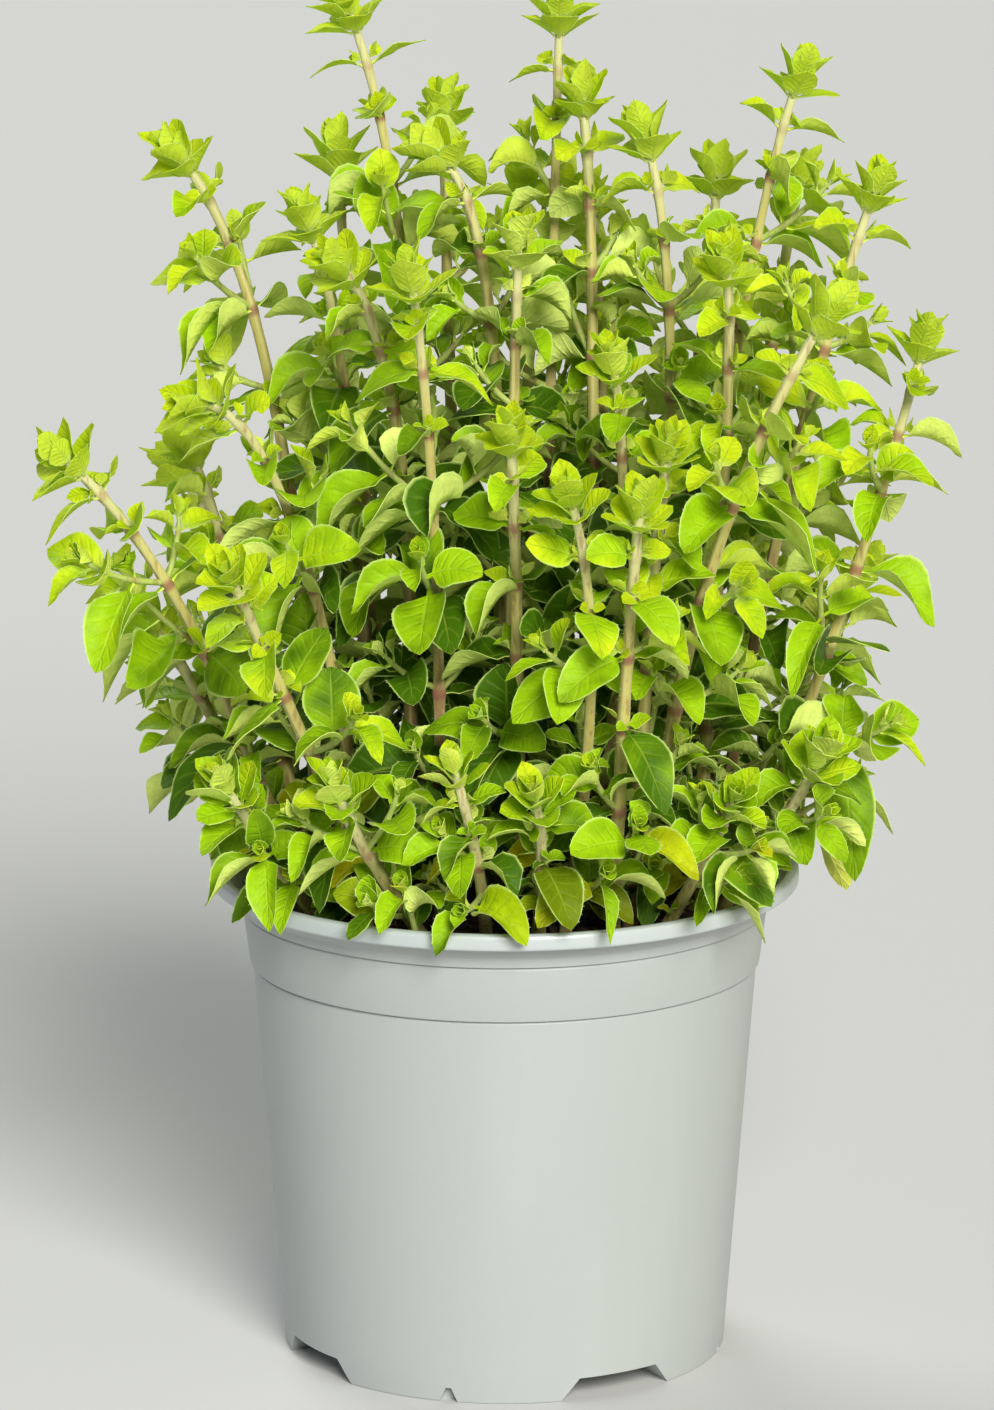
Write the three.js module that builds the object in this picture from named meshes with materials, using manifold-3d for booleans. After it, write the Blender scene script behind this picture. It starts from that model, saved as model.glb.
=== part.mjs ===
// A potted oregano plant: a light grey nursery pot on four feet, its potting mix, and leafy
// square-stemmed shoots with opposite, crosswise pairs of ovate leaves and a tuft at every tip.
// Millimetres, +Z up, the viewer at -Y. The pot's axis is upright and the origin ends up on the
// ground below the middle of the whole plant.
import * as THREE from "three";
import Module from "manifold-3d";

const wasm = await Module();
wasm.setup();

const rad = THREE.MathUtils.degToRad;
const mix = THREE.MathUtils.lerp;
const UP = new THREE.Vector3(0, 0, 1);

// ---- Pot ------------------------------------------------------------------------------------
const POT_SIDES = 32;
const BASE_RADIUS = 48.7;
const SHOULDER = { radius: 55.3, step: 0.7, z: 87.3 }; // the small step round the upper wall
const COLLAR = { radius: 57.5, z: 100 }; // where the flared collar leaves the wall
const RIM = { radius: 64.5, inner: 61.9, bottom: 104.9, top: 108.5, chamfer: 0.7 };
const WALL = 1.1;
const FLOOR = { under: 5, top: 6.2 };
const FEET = 4;
const FOOT_TURN = -104.4; // direction of the front foot's middle, in degrees from +X
const GAP_TURN = FOOT_TURN + 45; // direction of the first gap between feet
const FOOT = { inner: 36, skin: 1.2 };
const CHANNEL = { bottomHalf: 13.6, topHalf: 9.6 }; // half widths of the gap between two feet
const NICK = { bottomHalf: 2, topHalf: 0.6, height: 3.2 }; // the notch in the middle of a foot
const DRAIN = { radius: 3.4, ring: 41.5, sides: 8 };

// ---- Potting mix ----------------------------------------------------------------------------
const SOIL_TOP = 100.5;
const SEAT = 0.3; // gap between pieces that rest on each other
const HOLE = { depth: 12, slack: 0.4 };

// ---- Stalks ---------------------------------------------------------------------------------
const STALK = { footHalf: 1.4, tipHalf: 0.85 }; // half widths of the square
const FOOT_RISE = 0.8; // the stalk leaves its hole straight up, as far as this over the mix
const NODE_HALF = 0.6; // half the height of the stalk's face that a leaf grows from
const CURVE_STEPS = 40;
const FIRST_PAIR = 13; // distance of the top pair of leaves below the tip
const PAIR_STEP = { first: 10, growth: 3.5, last: 22 };
const LEAST_FOOT = 5; // no leaves grow on this much of a stalk above the mix
const TUFT = [
  { below: 7.5, rise: 34, length: 10.5, half: 3.3, faces: [0, 1, 2, 3] },
  { below: 3.8, rise: 58, length: 7.5, half: 2.5, faces: [1, 3] },
]; // two tiers of young leaves round the tip
const YOUNG = { shortest: 0.85, longest: 1.1, spread: 14, droop: 0.3, fold: 16 };

// ---- Leaves ---------------------------------------------------------------------------------
const THICKNESS = 0.66;
const LENGTH = { top: 13.5, full: 20, fullFrom: 3 }; // leaf length by pair, counted from the top
const LEAST_LENGTH = 0.9; // the draw's bounds for a leaf's length
const MOST_LENGTH = 1.08;
const HALF_BREADTH = 0.31; // of the length
const NECK_SHARE = 0.16; // of the half breadth, at the root
const LOW_ROW = { at: 0.4, share: 1 }; // rows of a blade: share of length and of half breadth
const HIGH_ROW = { at: 0.74, share: 0.76 };
const MIDDLE_ROW = { at: 0.48, share: 1.05 }; // the only row of a small leaf
const RISE = { top: 38, low: 4, spread: 30 };
const DROOP = { least: 0.3, most: 1.4 };
const SWING = 24;
const ROLL = 0.7;
const FOLD = { least: 8, most: 34 };
const TO_LIGHT = { up: 0.5, out: 1.3 }; // how far blades turn their faces up and outwards
const HIDDEN = { radius: 42, z: 225 }; // leaves rooted nearer the middle are of a plainer form

// ---- Keeping leaves clear of each other -------------------------------------------------------
const CELL = 4.5;
const SAMPLE_STEP = 1.35;
const SAMPLES_ACROSS = [-1, -0.5, 0, 0.5, 1];
const AIR = { leaf: 1.15, stalk: 2.35 }; // what a sample keeps clear round itself
const OWN_ROOT = 4.2; // a leaf may come near its own shoot inside this distance of its root
const RIM_AIR = 1.4;
// How a leaf that would touch another is bent clear: swing, lift in degrees, share of its size.
const BENDS = [
  [0, 0, 1],
  [20, 0, 1],
  [-20, 0, 1],
  [0, 20, 1],
  [0, -22, 1],
  [32, 14, 0.92],
  [-32, 14, 0.92],
  [32, -16, 0.86],
  [-32, -16, 0.86],
  [0, 36, 0.8],
  [0, -36, 0.76],
  [16, 12, 0.62],
  [-16, -12, 0.62],
];

// Every shoot, front ones first: foot on the mix, the knee that its curve bends towards, its
// tip, the direction of its top pair of leaves in degrees, its pairs, the pace of its pairs
// down the stalk, and the size of its leaves.
const SHOOTS = [
  { foot: [-14, -16], knee: [-13, -42, 209], tip: [-20, -45, 247], turn: 90, pairs: 7, pace: 1, size: 1 },
  { foot: [13, -30], knee: [23, -60, 173], tip: [13, -72, 205], turn: 8, pairs: 4, pace: 1.3, size: 1 },
  { foot: [31, -18], knee: [35, -63, 190], tip: [68, -50, 240],
    turn: 20, pairs: 6, pace: 1.3, size: 1.05 },
  { foot: [45, 2], knee: [59, -9, 200], tip: [80, 0, 259], turn: 12, pairs: 7, pace: 1.05, size: 0.95 },
  { foot: [49, -8], knee: [76, -15, 170], tip: [90, -12, 228], turn: 75, pairs: 6, pace: 1, size: 0.9 },
  { foot: [36, 17], knee: [51, 25, 245], tip: [65, 28, 280], turn: 5, pairs: 8, pace: 1.1, size: 0.95 },
  { foot: [43, 23], knee: [61, 39, 240], tip: [66, 44, 255], turn: 50, pairs: 6, pace: 1.1, size: 0.9 },
  { foot: [8, 16], knee: [11, 26, 265], tip: [12, 28, 294], turn: 0, pairs: 8, pace: 1.15, size: 1 },
  { foot: [18, 4], knee: [21, 9, 260], tip: [16, 14, 277], turn: 40, pairs: 7, pace: 1.1, size: 0.9 },
  { foot: [25, 17], knee: [21, 30, 242], tip: [19, 34, 252], turn: 70, pairs: 6, pace: 1.1, size: 0.9 },
  { foot: [32, 0], knee: [41, -2, 246], tip: [29, 2, 270], turn: 15, pairs: 7, pace: 1.1, size: 1 },
  { foot: [28, 31], knee: [49, 52, 245], tip: [47, 58, 254], turn: 30, pairs: 6, pace: 1.15, size: 1 },
  { foot: [41, -9], knee: [51, -19, 238], tip: [46, -22, 246],
    turn: 60, pairs: 6, pace: 1.1, size: 0.95 },
  { foot: [0, -5], knee: [2, -9, 228], tip: [3, -10, 249], turn: 25, pairs: 7, pace: 1.05, size: 1 },
  { foot: [3, -20], knee: [3, -48, 189], tip: [1, -52, 215], turn: 60, pairs: 6, pace: 1, size: 0.9 },
  { foot: [-3, 7], knee: [5, -1, 261], tip: [-17, 4, 265], turn: 35, pairs: 7, pace: 1.15, size: 1 },
  { foot: [-14, 15], knee: [-18, 22, 262], tip: [-35, 22, 295], turn: 10, pairs: 8, pace: 1.15, size: 1 },
  { foot: [-22, -7], knee: [-15, -22, 226], tip: [-36, -28, 246], turn: 45, pairs: 7, pace: 1, size: 1 },
  { foot: [-30, 2], knee: [-30, 4, 227], tip: [-44, 4, 252], turn: 80, pairs: 7, pace: 1.1, size: 1 },
  { foot: [-26, 24], knee: [-36, 31, 248], tip: [-37, 34, 262], turn: 20, pairs: 6, pace: 1.15, size: 1 },
  { foot: [-41, 9], knee: [-44, 11, 236], tip: [-72, 8, 265], turn: 65, pairs: 7, pace: 1.1, size: 1 },
  { foot: [-29, -15], knee: [-42, -27, 217], tip: [-66, -36, 217],
    turn: 15, pairs: 6, pace: 1, size: 1.05 },
  { foot: [-41, -2], knee: [-64, -5, 201], tip: [-70, -4, 203], turn: 70, pairs: 5, pace: 1, size: 0.95 },
  { foot: [-44, -13], knee: [-65, -29, 181], tip: [-95, -34, 206],
    turn: 30, pairs: 5, pace: 1.05, size: 1.05 },
  { foot: [-25, -27], knee: [-51, -59, 170], tip: [-57, -72, 188], turn: 40, pairs: 5, pace: 1, size: 1 },
  { foot: [20, -9], knee: [29, -27, 206], tip: [22, -34, 227],
    turn: 85, pairs: 6, pace: 1.05, size: 0.95 },
  { foot: [27, -28], knee: [31, -48, 187], tip: [34, -54, 212], turn: 55, pairs: 5, pace: 1, size: 0.9 },
  { foot: [23, -38], knee: [25, -66, 172], tip: [28, -70, 203], turn: 30, pairs: 5, pace: 1, size: 0.95 },
  { foot: [4, 38], knee: [6, 44, 229], tip: [4, 50, 254], turn: 75, pairs: 6, pace: 1.1, size: 0.95 },
  { foot: [-8, 28], knee: [-14, 35, 246], tip: [-13, 38, 272],
    turn: 50, pairs: 7, pace: 1.15, size: 0.95 },
  { foot: [-4, -34], knee: [-5, -67, 127], tip: [-11, -68, 147],
    turn: 0, pairs: 3, pace: 0.8, size: 0.75 },
  { foot: [-40, -25], knee: [-52, -42, 122], tip: [-60, -46, 138],
    turn: 35, pairs: 2, pace: 0.95, size: 1.05 },
  { foot: [-17, -40], knee: [-32, -60, 128], tip: [-36, -64, 142],
    turn: 80, pairs: 2, pace: 0.9, size: 1 },
  { foot: [7, -43], knee: [9, -58, 126], tip: [6, -66, 140], turn: 20, pairs: 2, pace: 0.9, size: 0.95 },
  { foot: [34, -34], knee: [46, -52, 128], tip: [48, -62, 138],
    turn: 65, pairs: 2, pace: 0.9, size: 0.95 },
  { foot: [46, -18], knee: [62, -28, 126], tip: [68, -34, 142],
    turn: 10, pairs: 2, pace: 0.9, size: 1.1 },
  { foot: [-49, 4], knee: [-62, 0, 145], tip: [-78, -6, 164], turn: 50, pairs: 3, pace: 0.95, size: 1 },
  { foot: [48, 10], knee: [66, 16, 150], tip: [80, 18, 172], turn: 70, pairs: 3, pace: 0.95, size: 1 },
  { foot: [-24, 40], knee: [-32, 62, 190], tip: [-36, 72, 212], turn: 20, pairs: 5, pace: 1, size: 1 },
  { foot: [16, 45], knee: [20, 68, 180], tip: [24, 78, 200], turn: 60, pairs: 4, pace: 1, size: 1 },
  { foot: [33, 37], knee: [52, 66, 150], tip: [62, 72, 172], turn: 30, pairs: 3, pace: 1, size: 1 },
  { foot: [-42, 26], knee: [-60, 38, 170], tip: [-74, 44, 190], turn: 75, pairs: 4, pace: 1, size: 1 },
];

const TUFT_DRAWS = 50; // the draws of tufts start here, past those of the pairs

// A fixed draw between 0 and 1 for a shoot, a leaf on it and what the number is for.
function draw(shoot, leaf, use) {
  const x = Math.sin(shoot * 12.9898 + leaf * 78.233 + use * 37.719) * 43758.5453;
  return x - Math.floor(x);
}

// Where a leaf-bearing knot of a stalk is and how it is turned: its middle, the stalk's
// direction there, and two directions across the stalk's faces.
function knotAt(middle, along, turn) {
  const heading = new THREE.Vector3(Math.cos(rad(turn)), Math.sin(rad(turn)), 0);
  const first = heading.addScaledVector(along, -heading.dot(along)).normalize();
  const second = along.clone().cross(first);
  return { middle, along, sides: [first, second] };
}

// The outward direction of one of a stalk's four faces.
function faceDirection(knot, face) {
  const side = knot.sides[face % 2].clone();
  return face < 2 ? side : side.negate();
}

// The curve of a shoot's stalk, as points with the distance to its tip along the curve.
function stalkCurve(shoot) {
  const foot = new THREE.Vector3(...shoot.foot, SOIL_TOP + FOOT_RISE);
  const curve = new THREE.QuadraticBezierCurve3(
    foot, new THREE.Vector3(...shoot.knee), new THREE.Vector3(...shoot.tip));
  const steps = [];
  let below = 0;
  for (let i = 0; i <= CURVE_STEPS; i++) {
    const share = 1 - i / CURVE_STEPS;
    const point = curve.getPoint(share);
    if (i) below += point.distanceTo(steps[i - 1].point);
    steps.push({ share, point, below });
  }
  return { curve, steps, length: below };
}

// The knot that lies a distance below the tip.
function knotBelow(line, below, turn) {
  const next = line.steps.findIndex((step) => step.below > below);
  const [a, b] = [line.steps[next - 1], line.steps[next]];
  const part = (below - a.below) / (b.below - a.below);
  const middle = a.point.clone().lerp(b.point, part);
  const share = mix(a.share, b.share, part);
  const [p, q, r] = [line.curve.v0, line.curve.v1, line.curve.v2];
  const along = q.clone().sub(p).multiplyScalar(1 - share);
  along.addScaledVector(r.clone().sub(q), share).normalize();
  return { ...knotAt(middle, along, turn), below };
}

// Distances below the tip of a shoot's pairs of leaves.
function pairDistances(shoot, length) {
  const distances = [];
  let below = FIRST_PAIR * shoot.pace;
  for (let pair = 0; pair < shoot.pairs && below < length - LEAST_FOOT; pair++) {
    distances.push(below);
    below += Math.min(PAIR_STEP.last, PAIR_STEP.first + PAIR_STEP.growth * pair) * shoot.pace;
  }
  return distances;
}

// A leaf's midrib: where it is and how its blade faces, at a share of the leaf's length.
function midrib(leaf, share) {
  const run = leaf.length * share;
  const point = leaf.root.clone().addScaledVector(leaf.start, run);
  point.addScaledVector(UP, -leaf.droop * run * share / 2);
  const along = leaf.start.clone().addScaledVector(UP, -leaf.droop * share).normalize();
  const face = leaf.face.clone().addScaledVector(along, -leaf.face.dot(along)).normalize();
  return { point, face, across: face.clone().cross(along) };
}

// A point of the folded blade: share of the length, and how far across from -1 to 1 of the
// half breadth given.
function bladePoint(leaf, share, across, half) {
  const rib = midrib(leaf, share);
  const point = rib.point.clone().addScaledVector(rib.across, across * half * Math.cos(leaf.fold));
  return point.addScaledVector(rib.face, Math.abs(across) * half * Math.sin(leaf.fold));
}

// Half breadth of an ovate leaf at a share of its length.
function breadthAt(leaf, share) {
  if (share < LOW_ROW.at) return mix(NECK_SHARE, LOW_ROW.share, share / LOW_ROW.at) * leaf.half;
  if (share < HIGH_ROW.at) {
    const part = (share - LOW_ROW.at) / (HIGH_ROW.at - LOW_ROW.at);
    return mix(LOW_ROW.share, HIGH_ROW.share, part) * leaf.half;
  }
  return HIGH_ROW.share * leaf.half * (1 - share) / (1 - HIGH_ROW.at);
}

// The way that full-grown blades turn their faces to the light, up and out of the plant.
function lightAt(point) {
  const outward = new THREE.Vector3(point.x, point.y, 0).normalize();
  return outward.multiplyScalar(TO_LIGHT.out).addScaledVector(UP, TO_LIGHT.up);
}

// A leaf on one face of a knot, pointing out of it at the rise given, in degrees.
function leafOn(knot, face, form) {
  const out = faceDirection(knot, face);
  const level = out.clone().applyAxisAngle(knot.along, rad(form.swing));
  const rise = rad(form.rise);
  const start = level.clone().multiplyScalar(Math.cos(rise)).addScaledVector(knot.along, Math.sin(rise));
  const upper = knot.along.clone().multiplyScalar(Math.cos(rise)).addScaledVector(level, -Math.sin(rise));
  upper.addScaledVector(knot.along.clone().cross(level), form.roll);
  if (form.turned) upper.add(lightAt(knot.middle));
  const root = knot.middle.clone().addScaledVector(out, form.stalkHalf);
  const { length, half, droop } = form;
  return { face: upper, start, root, length, half, droop, fold: rad(form.fold) };
}

// The form that a leaf of a pair would have, before it is bent clear of others.
function pairForm(index, pair, side, shoot) {
  const leaf = 2 * pair + side;
  const age = Math.min(1, pair / LENGTH.fullFrom);
  const share = mix(LEAST_LENGTH, MOST_LENGTH, draw(index, leaf, 1));
  const full = mix(LENGTH.top, LENGTH.full, age) * shoot.size * share;
  const droop = mix(DROOP.least, DROOP.most, draw(index, leaf, 4));
  return {
    length: full / Math.hypot(1, droop / 2),
    rise: mix(RISE.top, RISE.low, age) + (draw(index, leaf, 2) - 0.5) * RISE.spread,
    swing: (draw(index, leaf, 3) - 0.5) * SWING,
    droop,
    roll: (draw(index, leaf, 5) - 0.5) * ROLL,
    fold: mix(FOLD.least, FOLD.most, draw(index, leaf, 6)),
    half: full * HALF_BREADTH,
    turned: true,
  };
}

// A crowd of points, kept by cells of space, that new leaves have to stay clear of.
class Crowd {
  cells = new Map();

  key(x, y, z) {
    return `${Math.floor(x / CELL)},${Math.floor(y / CELL)},${Math.floor(z / CELL)}`;
  }

  add(point, air, shoot) {
    const key = this.key(point.x, point.y, point.z);
    if (!this.cells.has(key)) this.cells.set(key, []);
    this.cells.get(key).push({ point, air, shoot });
  }

  // Whether a leaf's sample stays clear of all others but its own shoot's round its root.
  clear(point, shoot, root) {
    for (let x = -1; x <= 1; x++) {
      for (let y = -1; y <= 1; y++) {
        for (let z = -1; z <= 1; z++) {
          const key = this.key(point.x + x * CELL, point.y + y * CELL, point.z + z * CELL);
          for (const other of this.cells.get(key) ?? []) {
            if (point.distanceTo(other.point) > AIR.leaf + other.air) continue;
            if (other.shoot === shoot && other.point.distanceTo(root) < OWN_ROOT) continue;
            return false;
          }
        }
      }
    }
    return true;
  }
}

// Samples all over a leaf.
function leafSamples(leaf) {
  const rows = Math.ceil(leaf.length / SAMPLE_STEP);
  const samples = [];
  for (let row = 1; row <= rows; row++) {
    const share = row / rows;
    const half = breadthAt(leaf, share);
    for (const across of SAMPLES_ACROSS) samples.push(bladePoint(leaf, share, across, half));
  }
  return samples;
}

// Whether a point stays clear of the pot's rim and of the mix.
function clearOfPot(point) {
  if (point.z > RIM.top + RIM_AIR) return true;
  const radius = Math.hypot(point.x, point.y);
  if (radius > RIM.radius + RIM_AIR) return true;
  return radius < COLLAR.radius - RIM_AIR && point.z > SOIL_TOP + RIM_AIR;
}

// The form of a tuft's leaf.
function youngForm(shoot, index, tier, order, face) {
  const leaf = TUFT_DRAWS + 4 * order + face;
  return {
    length: tier.length * shoot.size * mix(YOUNG.shortest, YOUNG.longest, draw(index, leaf, 1)),
    rise: tier.rise + (draw(index, leaf, 2) - 0.5) * YOUNG.spread,
    swing: 0,
    droop: YOUNG.droop * draw(index, leaf, 4),
    roll: 0,
    fold: YOUNG.fold,
    half: tier.half * shoot.size,
  };
}

// Plans a shoot's stalk: its knots from the tip down and the form of its tuft.
function planShoot(shoot, index) {
  const line = stalkCurve(shoot);
  const knots = pairDistances(shoot, line.length).map((below, pair) => {
    const knot = knotBelow(line, below, shoot.turn);
    return { ...knot, faces: pair % 2 ? [1, 3] : [0, 2], leaves: [] };
  });
  const tiers = TUFT.map((tier, order) => {
    const knot = knotBelow(line, tier.below * shoot.size, shoot.turn);
    const forms = tier.faces.map((face) => youngForm(shoot, index, tier, order, face));
    return { ...knot, faces: tier.faces, forms, leaves: [] };
  });
  return { shoot, index, line, knots, tiers };
}

// Half width of a shoot's stalk at a distance below its tip.
function stalkHalf(plan, below) {
  return mix(STALK.tipHalf, STALK.footHalf, Math.min(1, below / plan.line.length));
}

// Plans all shoots, then lets their leaves find their room, the top pairs first.
function planPlant() {
  const crowd = new Crowd();
  const plans = SHOOTS.map(planShoot);
  for (const plan of plans) {
    for (let below = 0; below < plan.line.length; below += SAMPLE_STEP) {
      crowd.add(knotBelow(plan.line, below, 0).middle, AIR.stalk, plan.index);
    }
  }
  for (const plan of plans) {
    for (const tier of plan.tiers) {
      const half = stalkHalf(plan, tier.below);
      tier.leaves = tier.faces.map((face, i) => leafOn(tier, face, { ...tier.forms[i], stalkHalf: half }));
      for (const leaf of tier.leaves) {
        for (const point of leafSamples(leaf)) crowd.add(point, AIR.leaf, plan.index);
      }
    }
  }
  const most = Math.max(...SHOOTS.map((shoot) => shoot.pairs));
  for (let pair = 0; pair < most; pair++) {
    for (const plan of plans) {
      const knot = plan.knots[pair];
      if (knot) knot.leaves = knot.faces.map((face, side) => placeLeaf(plan, knot, pair, side, crowd));
    }
  }
  return plans;
}

// Bends a leaf of a pair clear of all that is already there, or leaves it out.
function placeLeaf(plan, knot, pair, side, crowd) {
  const form = pairForm(plan.index, pair, side, plan.shoot);
  for (const [swing, lift, share] of BENDS) {
    const leaf = leafOn(knot, knot.faces[side], {
      ...form,
      swing: form.swing + swing,
      rise: form.rise + lift,
      length: form.length * share,
      half: form.half * share,
      stalkHalf: stalkHalf(plan, knot.below),
    });
    const samples = leafSamples(leaf);
    if (!samples.every((point) => clearOfPot(point) && crowd.clear(point, plan.index, leaf.root))) continue;
    for (const point of samples) crowd.add(point, AIR.leaf, plan.index);
    return leaf;
  }
  return null;
}

// Collects the triangles of one closed body.
class Body {
  points = [];
  faces = [];

  point(position) {
    this.points.push(position.x, position.y, position.z);
    return this.points.length / 3 - 1;
  }

  triangle(a, b, c) {
    this.faces.push(a, b, c);
  }

  // A four-cornered face, its corners counter-clockwise from outside.
  quad(a, b, c, d) {
    this.triangle(a, b, c);
    this.triangle(a, c, d);
  }

  geometry() {
    const geometry = new THREE.BufferGeometry();
    geometry.setAttribute("position", new THREE.Float32BufferAttribute(this.points, 3));
    geometry.setIndex(this.faces);
    return faceted(geometry);
  }
}

// Splits a geometry into flat faces with their own normals.
function faceted(geometry) {
  const flat = geometry.toNonIndexed();
  flat.computeVertexNormals();
  return flat;
}

// The four corners of a stalk's section, at a height above the knot's middle.
function ringAt(body, knot, rise, half) {
  const [first, second] = knot.sides;
  return [[1, -1], [1, 1], [-1, 1], [-1, -1]].map(([a, b]) => {
    const corner = knot.middle.clone().addScaledVector(knot.along, rise);
    return body.point(corner.addScaledVector(first, a * half).addScaledVector(second, b * half));
  });
}

// Joins two sections of a stalk with its four faces, but for those that a leaf grows from.
function joinRings(body, lower, upper, open = []) {
  for (let face = 0; face < 4; face++) {
    if (open.includes(face)) continue;
    const next = (face + 1) % 4;
    body.quad(lower[face], lower[next], upper[next], upper[face]);
  }
}

// The upper and under points of a blade's row, across at the places given.
function bladeRow(body, leaf, row, places) {
  const { face } = midrib(leaf, row.at);
  return places.map((across) => {
    const point = bladePoint(leaf, row.at, across, leaf.half * row.share);
    const upper = body.point(point.clone().addScaledVector(face, THICKNESS / 2));
    const under = body.point(point.clone().addScaledVector(face, -THICKNESS / 2));
    return { upper, under };
  });
}

// Adds triangles on the upper face of a blade, and the same ones on its under face.
function skin(body, a, b, c) {
  body.triangle(a.upper, b.upper, c.upper);
  body.triangle(a.under, c.under, b.under);
}

// Closes a blade's edge between two of its points, on its left or on its right.
function edge(body, a, b, left) {
  const corners = left ? [a.under, b.under, b.upper, a.upper] : [a.under, a.upper, b.upper, b.under];
  const [p, q, r, s] = corners;
  if (b.under === b.upper) body.triangle(...(left ? [p, q, s] : [p, q, r]));
  else body.quad(p, q, r, s);
}

// A full leaf: narrow at its root, a low row with the midrib sunk, a high row and a tip.
function fullLeaf(body, leaf, rootLeft, rootRight) {
  const [lowLeft, rib, lowRight] = bladeRow(body, leaf, LOW_ROW, [-1, 0, 1]);
  const [highLeft, highRight] = bladeRow(body, leaf, HIGH_ROW, [-1, 1]);
  const tip = bladeTip(body, leaf);
  skin(body, rootLeft, lowLeft, rib);
  skin(body, rootLeft, rib, rootRight);
  skin(body, rootRight, rib, lowRight);
  skin(body, lowLeft, highLeft, rib);
  skin(body, rib, highLeft, highRight);
  skin(body, rib, highRight, lowRight);
  skin(body, highLeft, tip, highRight);
  bladeEdges(body, [rootLeft, lowLeft, highLeft, tip], [rootRight, lowRight, highRight, tip]);
}

// A leaf of the top pair: narrow at its root, one row with the midrib sunk and a tip.
function smallLeaf(body, leaf, rootLeft, rootRight) {
  const [left, rib, right] = bladeRow(body, leaf, MIDDLE_ROW, [-1, 0, 1]);
  const tip = bladeTip(body, leaf);
  skin(body, rootLeft, left, rib);
  skin(body, rootLeft, rib, rootRight);
  skin(body, rootRight, rib, right);
  skin(body, left, tip, rib);
  skin(body, rib, tip, right);
  bladeEdges(body, [rootLeft, left, tip], [rootRight, right, tip]);
}

// A young leaf: narrow at its root, one row and a tip.
function youngLeaf(body, leaf, rootLeft, rootRight) {
  const [left, right] = bladeRow(body, leaf, MIDDLE_ROW, [-1, 1]);
  const tip = bladeTip(body, leaf);
  skin(body, rootLeft, left, right);
  skin(body, rootLeft, right, rootRight);
  skin(body, left, tip, right);
  bladeEdges(body, [rootLeft, left, tip], [rootRight, right, tip]);
}

// The point of a leaf, where its two faces meet.
function bladeTip(body, leaf) {
  const point = body.point(midrib(leaf, 1).point);
  return { upper: point, under: point };
}

// Closes both edges of a blade from its root to its tip.
function bladeEdges(body, left, right) {
  for (let i = 1; i < left.length; i++) {
    edge(body, left[i - 1], left[i], true);
    edge(body, right[i - 1], right[i], false);
  }
}

// Builds a knot: a short stretch of stalk with leaves growing out of some of its faces.
function buildKnot(body, plan, knot, below, grow) {
  const half = stalkHalf(plan, knot.below);
  const lower = ringAt(body, knot, -NODE_HALF, half);
  const upper = ringAt(body, knot, NODE_HALF, half);
  joinRings(body, below, lower);
  joinRings(body, lower, upper, knot.faces.filter((face, i) => knot.leaves[i]));
  knot.faces.forEach((face, i) => {
    const next = (face + 1) % 4;
    const left = { upper: upper[face], under: lower[face] };
    const right = { upper: upper[next], under: lower[next] };
    if (knot.leaves[i]) grow(body, knot.leaves[i], left, right);
  });
  return upper;
}

// One leafy shoot as one closed body, from its buried foot to its tip.
function buildShoot(plan) {
  const body = new Body();
  const foot = new THREE.Vector3(...plan.shoot.foot, SOIL_TOP);
  const upright = knotAt(foot, UP.clone(), plan.shoot.turn);
  const bottom = ringAt(body, upright, SEAT - HOLE.depth, STALK.footHalf);
  body.quad(bottom[3], bottom[2], bottom[1], bottom[0]);
  let top = ringAt(body, upright, FOOT_RISE, STALK.footHalf);
  joinRings(body, bottom, top);
  for (const knot of [...plan.knots].reverse()) {
    const hidden = Math.hypot(knot.middle.x, knot.middle.y) < HIDDEN.radius && knot.middle.z < HIDDEN.z;
    const shown = knot === plan.knots[0] ? smallLeaf : fullLeaf;
    top = buildKnot(body, plan, knot, top, hidden ? youngLeaf : shown);
  }
  for (const tier of plan.tiers) top = buildKnot(body, plan, tier, top, youngLeaf);
  const tip = body.point(new THREE.Vector3(...plan.shoot.tip));
  for (let face = 0; face < 4; face++) body.triangle(top[face], top[(face + 1) % 4], tip);
  return body.geometry();
}

// ---- Solids of the pot and the mix ------------------------------------------------------------

// A ring-shaped or full solid spun round the pot's axis, from radius and height pairs.
function spun(profile) {
  const outline = profile.map(([radius, z]) => [radius, z]);
  return wasm.Manifold.revolve([outline], POT_SIDES);
}

// A solid along a direction from the pot's axis, from a radius out past the wall, by its section.
function spoke(section, from, degrees) {
  const bar = wasm.Manifold.extrude([section], RIM.radius - from);
  return bar.rotate([90, 0, 90]).translate([from, 0, 0]).rotate([0, 0, degrees]);
}

// The directions of the gaps between feet, or of the feet's middles.
function quarterTurns(start) {
  return Array.from({ length: FEET }, (_, i) => start + (i * 360) / FEET);
}

// A section with slanted sides, from below the ground up to a height, wider all round by a skin.
function wedgeSection(bottomHalf, topHalf, height, skinWidth = 0) {
  const slope = (bottomHalf - topHalf) / height;
  const side = skinWidth * Math.hypot(1, slope);
  const low = bottomHalf + slope + side;
  const high = topHalf - slope * skinWidth + side;
  const top = height + skinWidth;
  return [[-low, -1], [low, -1], [high, top], [-high, top]];
}

// The section of the gap between two feet, wider all round by a skin.
function channelSection(skinWidth) {
  return wedgeSection(CHANNEL.bottomHalf, CHANNEL.topHalf, FLOOR.under, skinWidth);
}

// The hollows inside the feet, smaller by an inset on every side.
function footHollows(inset) {
  const outer = BASE_RADIUS - WALL - inset;
  const inner = FOOT.inner + FOOT.skin + inset;
  const low = FOOT.skin + inset;
  const high = FLOOR.top + 1;
  const ring = spun([[inner, low], [outer, low], [outer, high], [inner, high]]);
  const channel = channelSection(FOOT.skin + inset);
  return quarterTurns(GAP_TURN).reduce(
    (rest, degrees) => rest.subtract(spoke(channel, FOOT.inner / 2, degrees)), ring);
}

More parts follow.
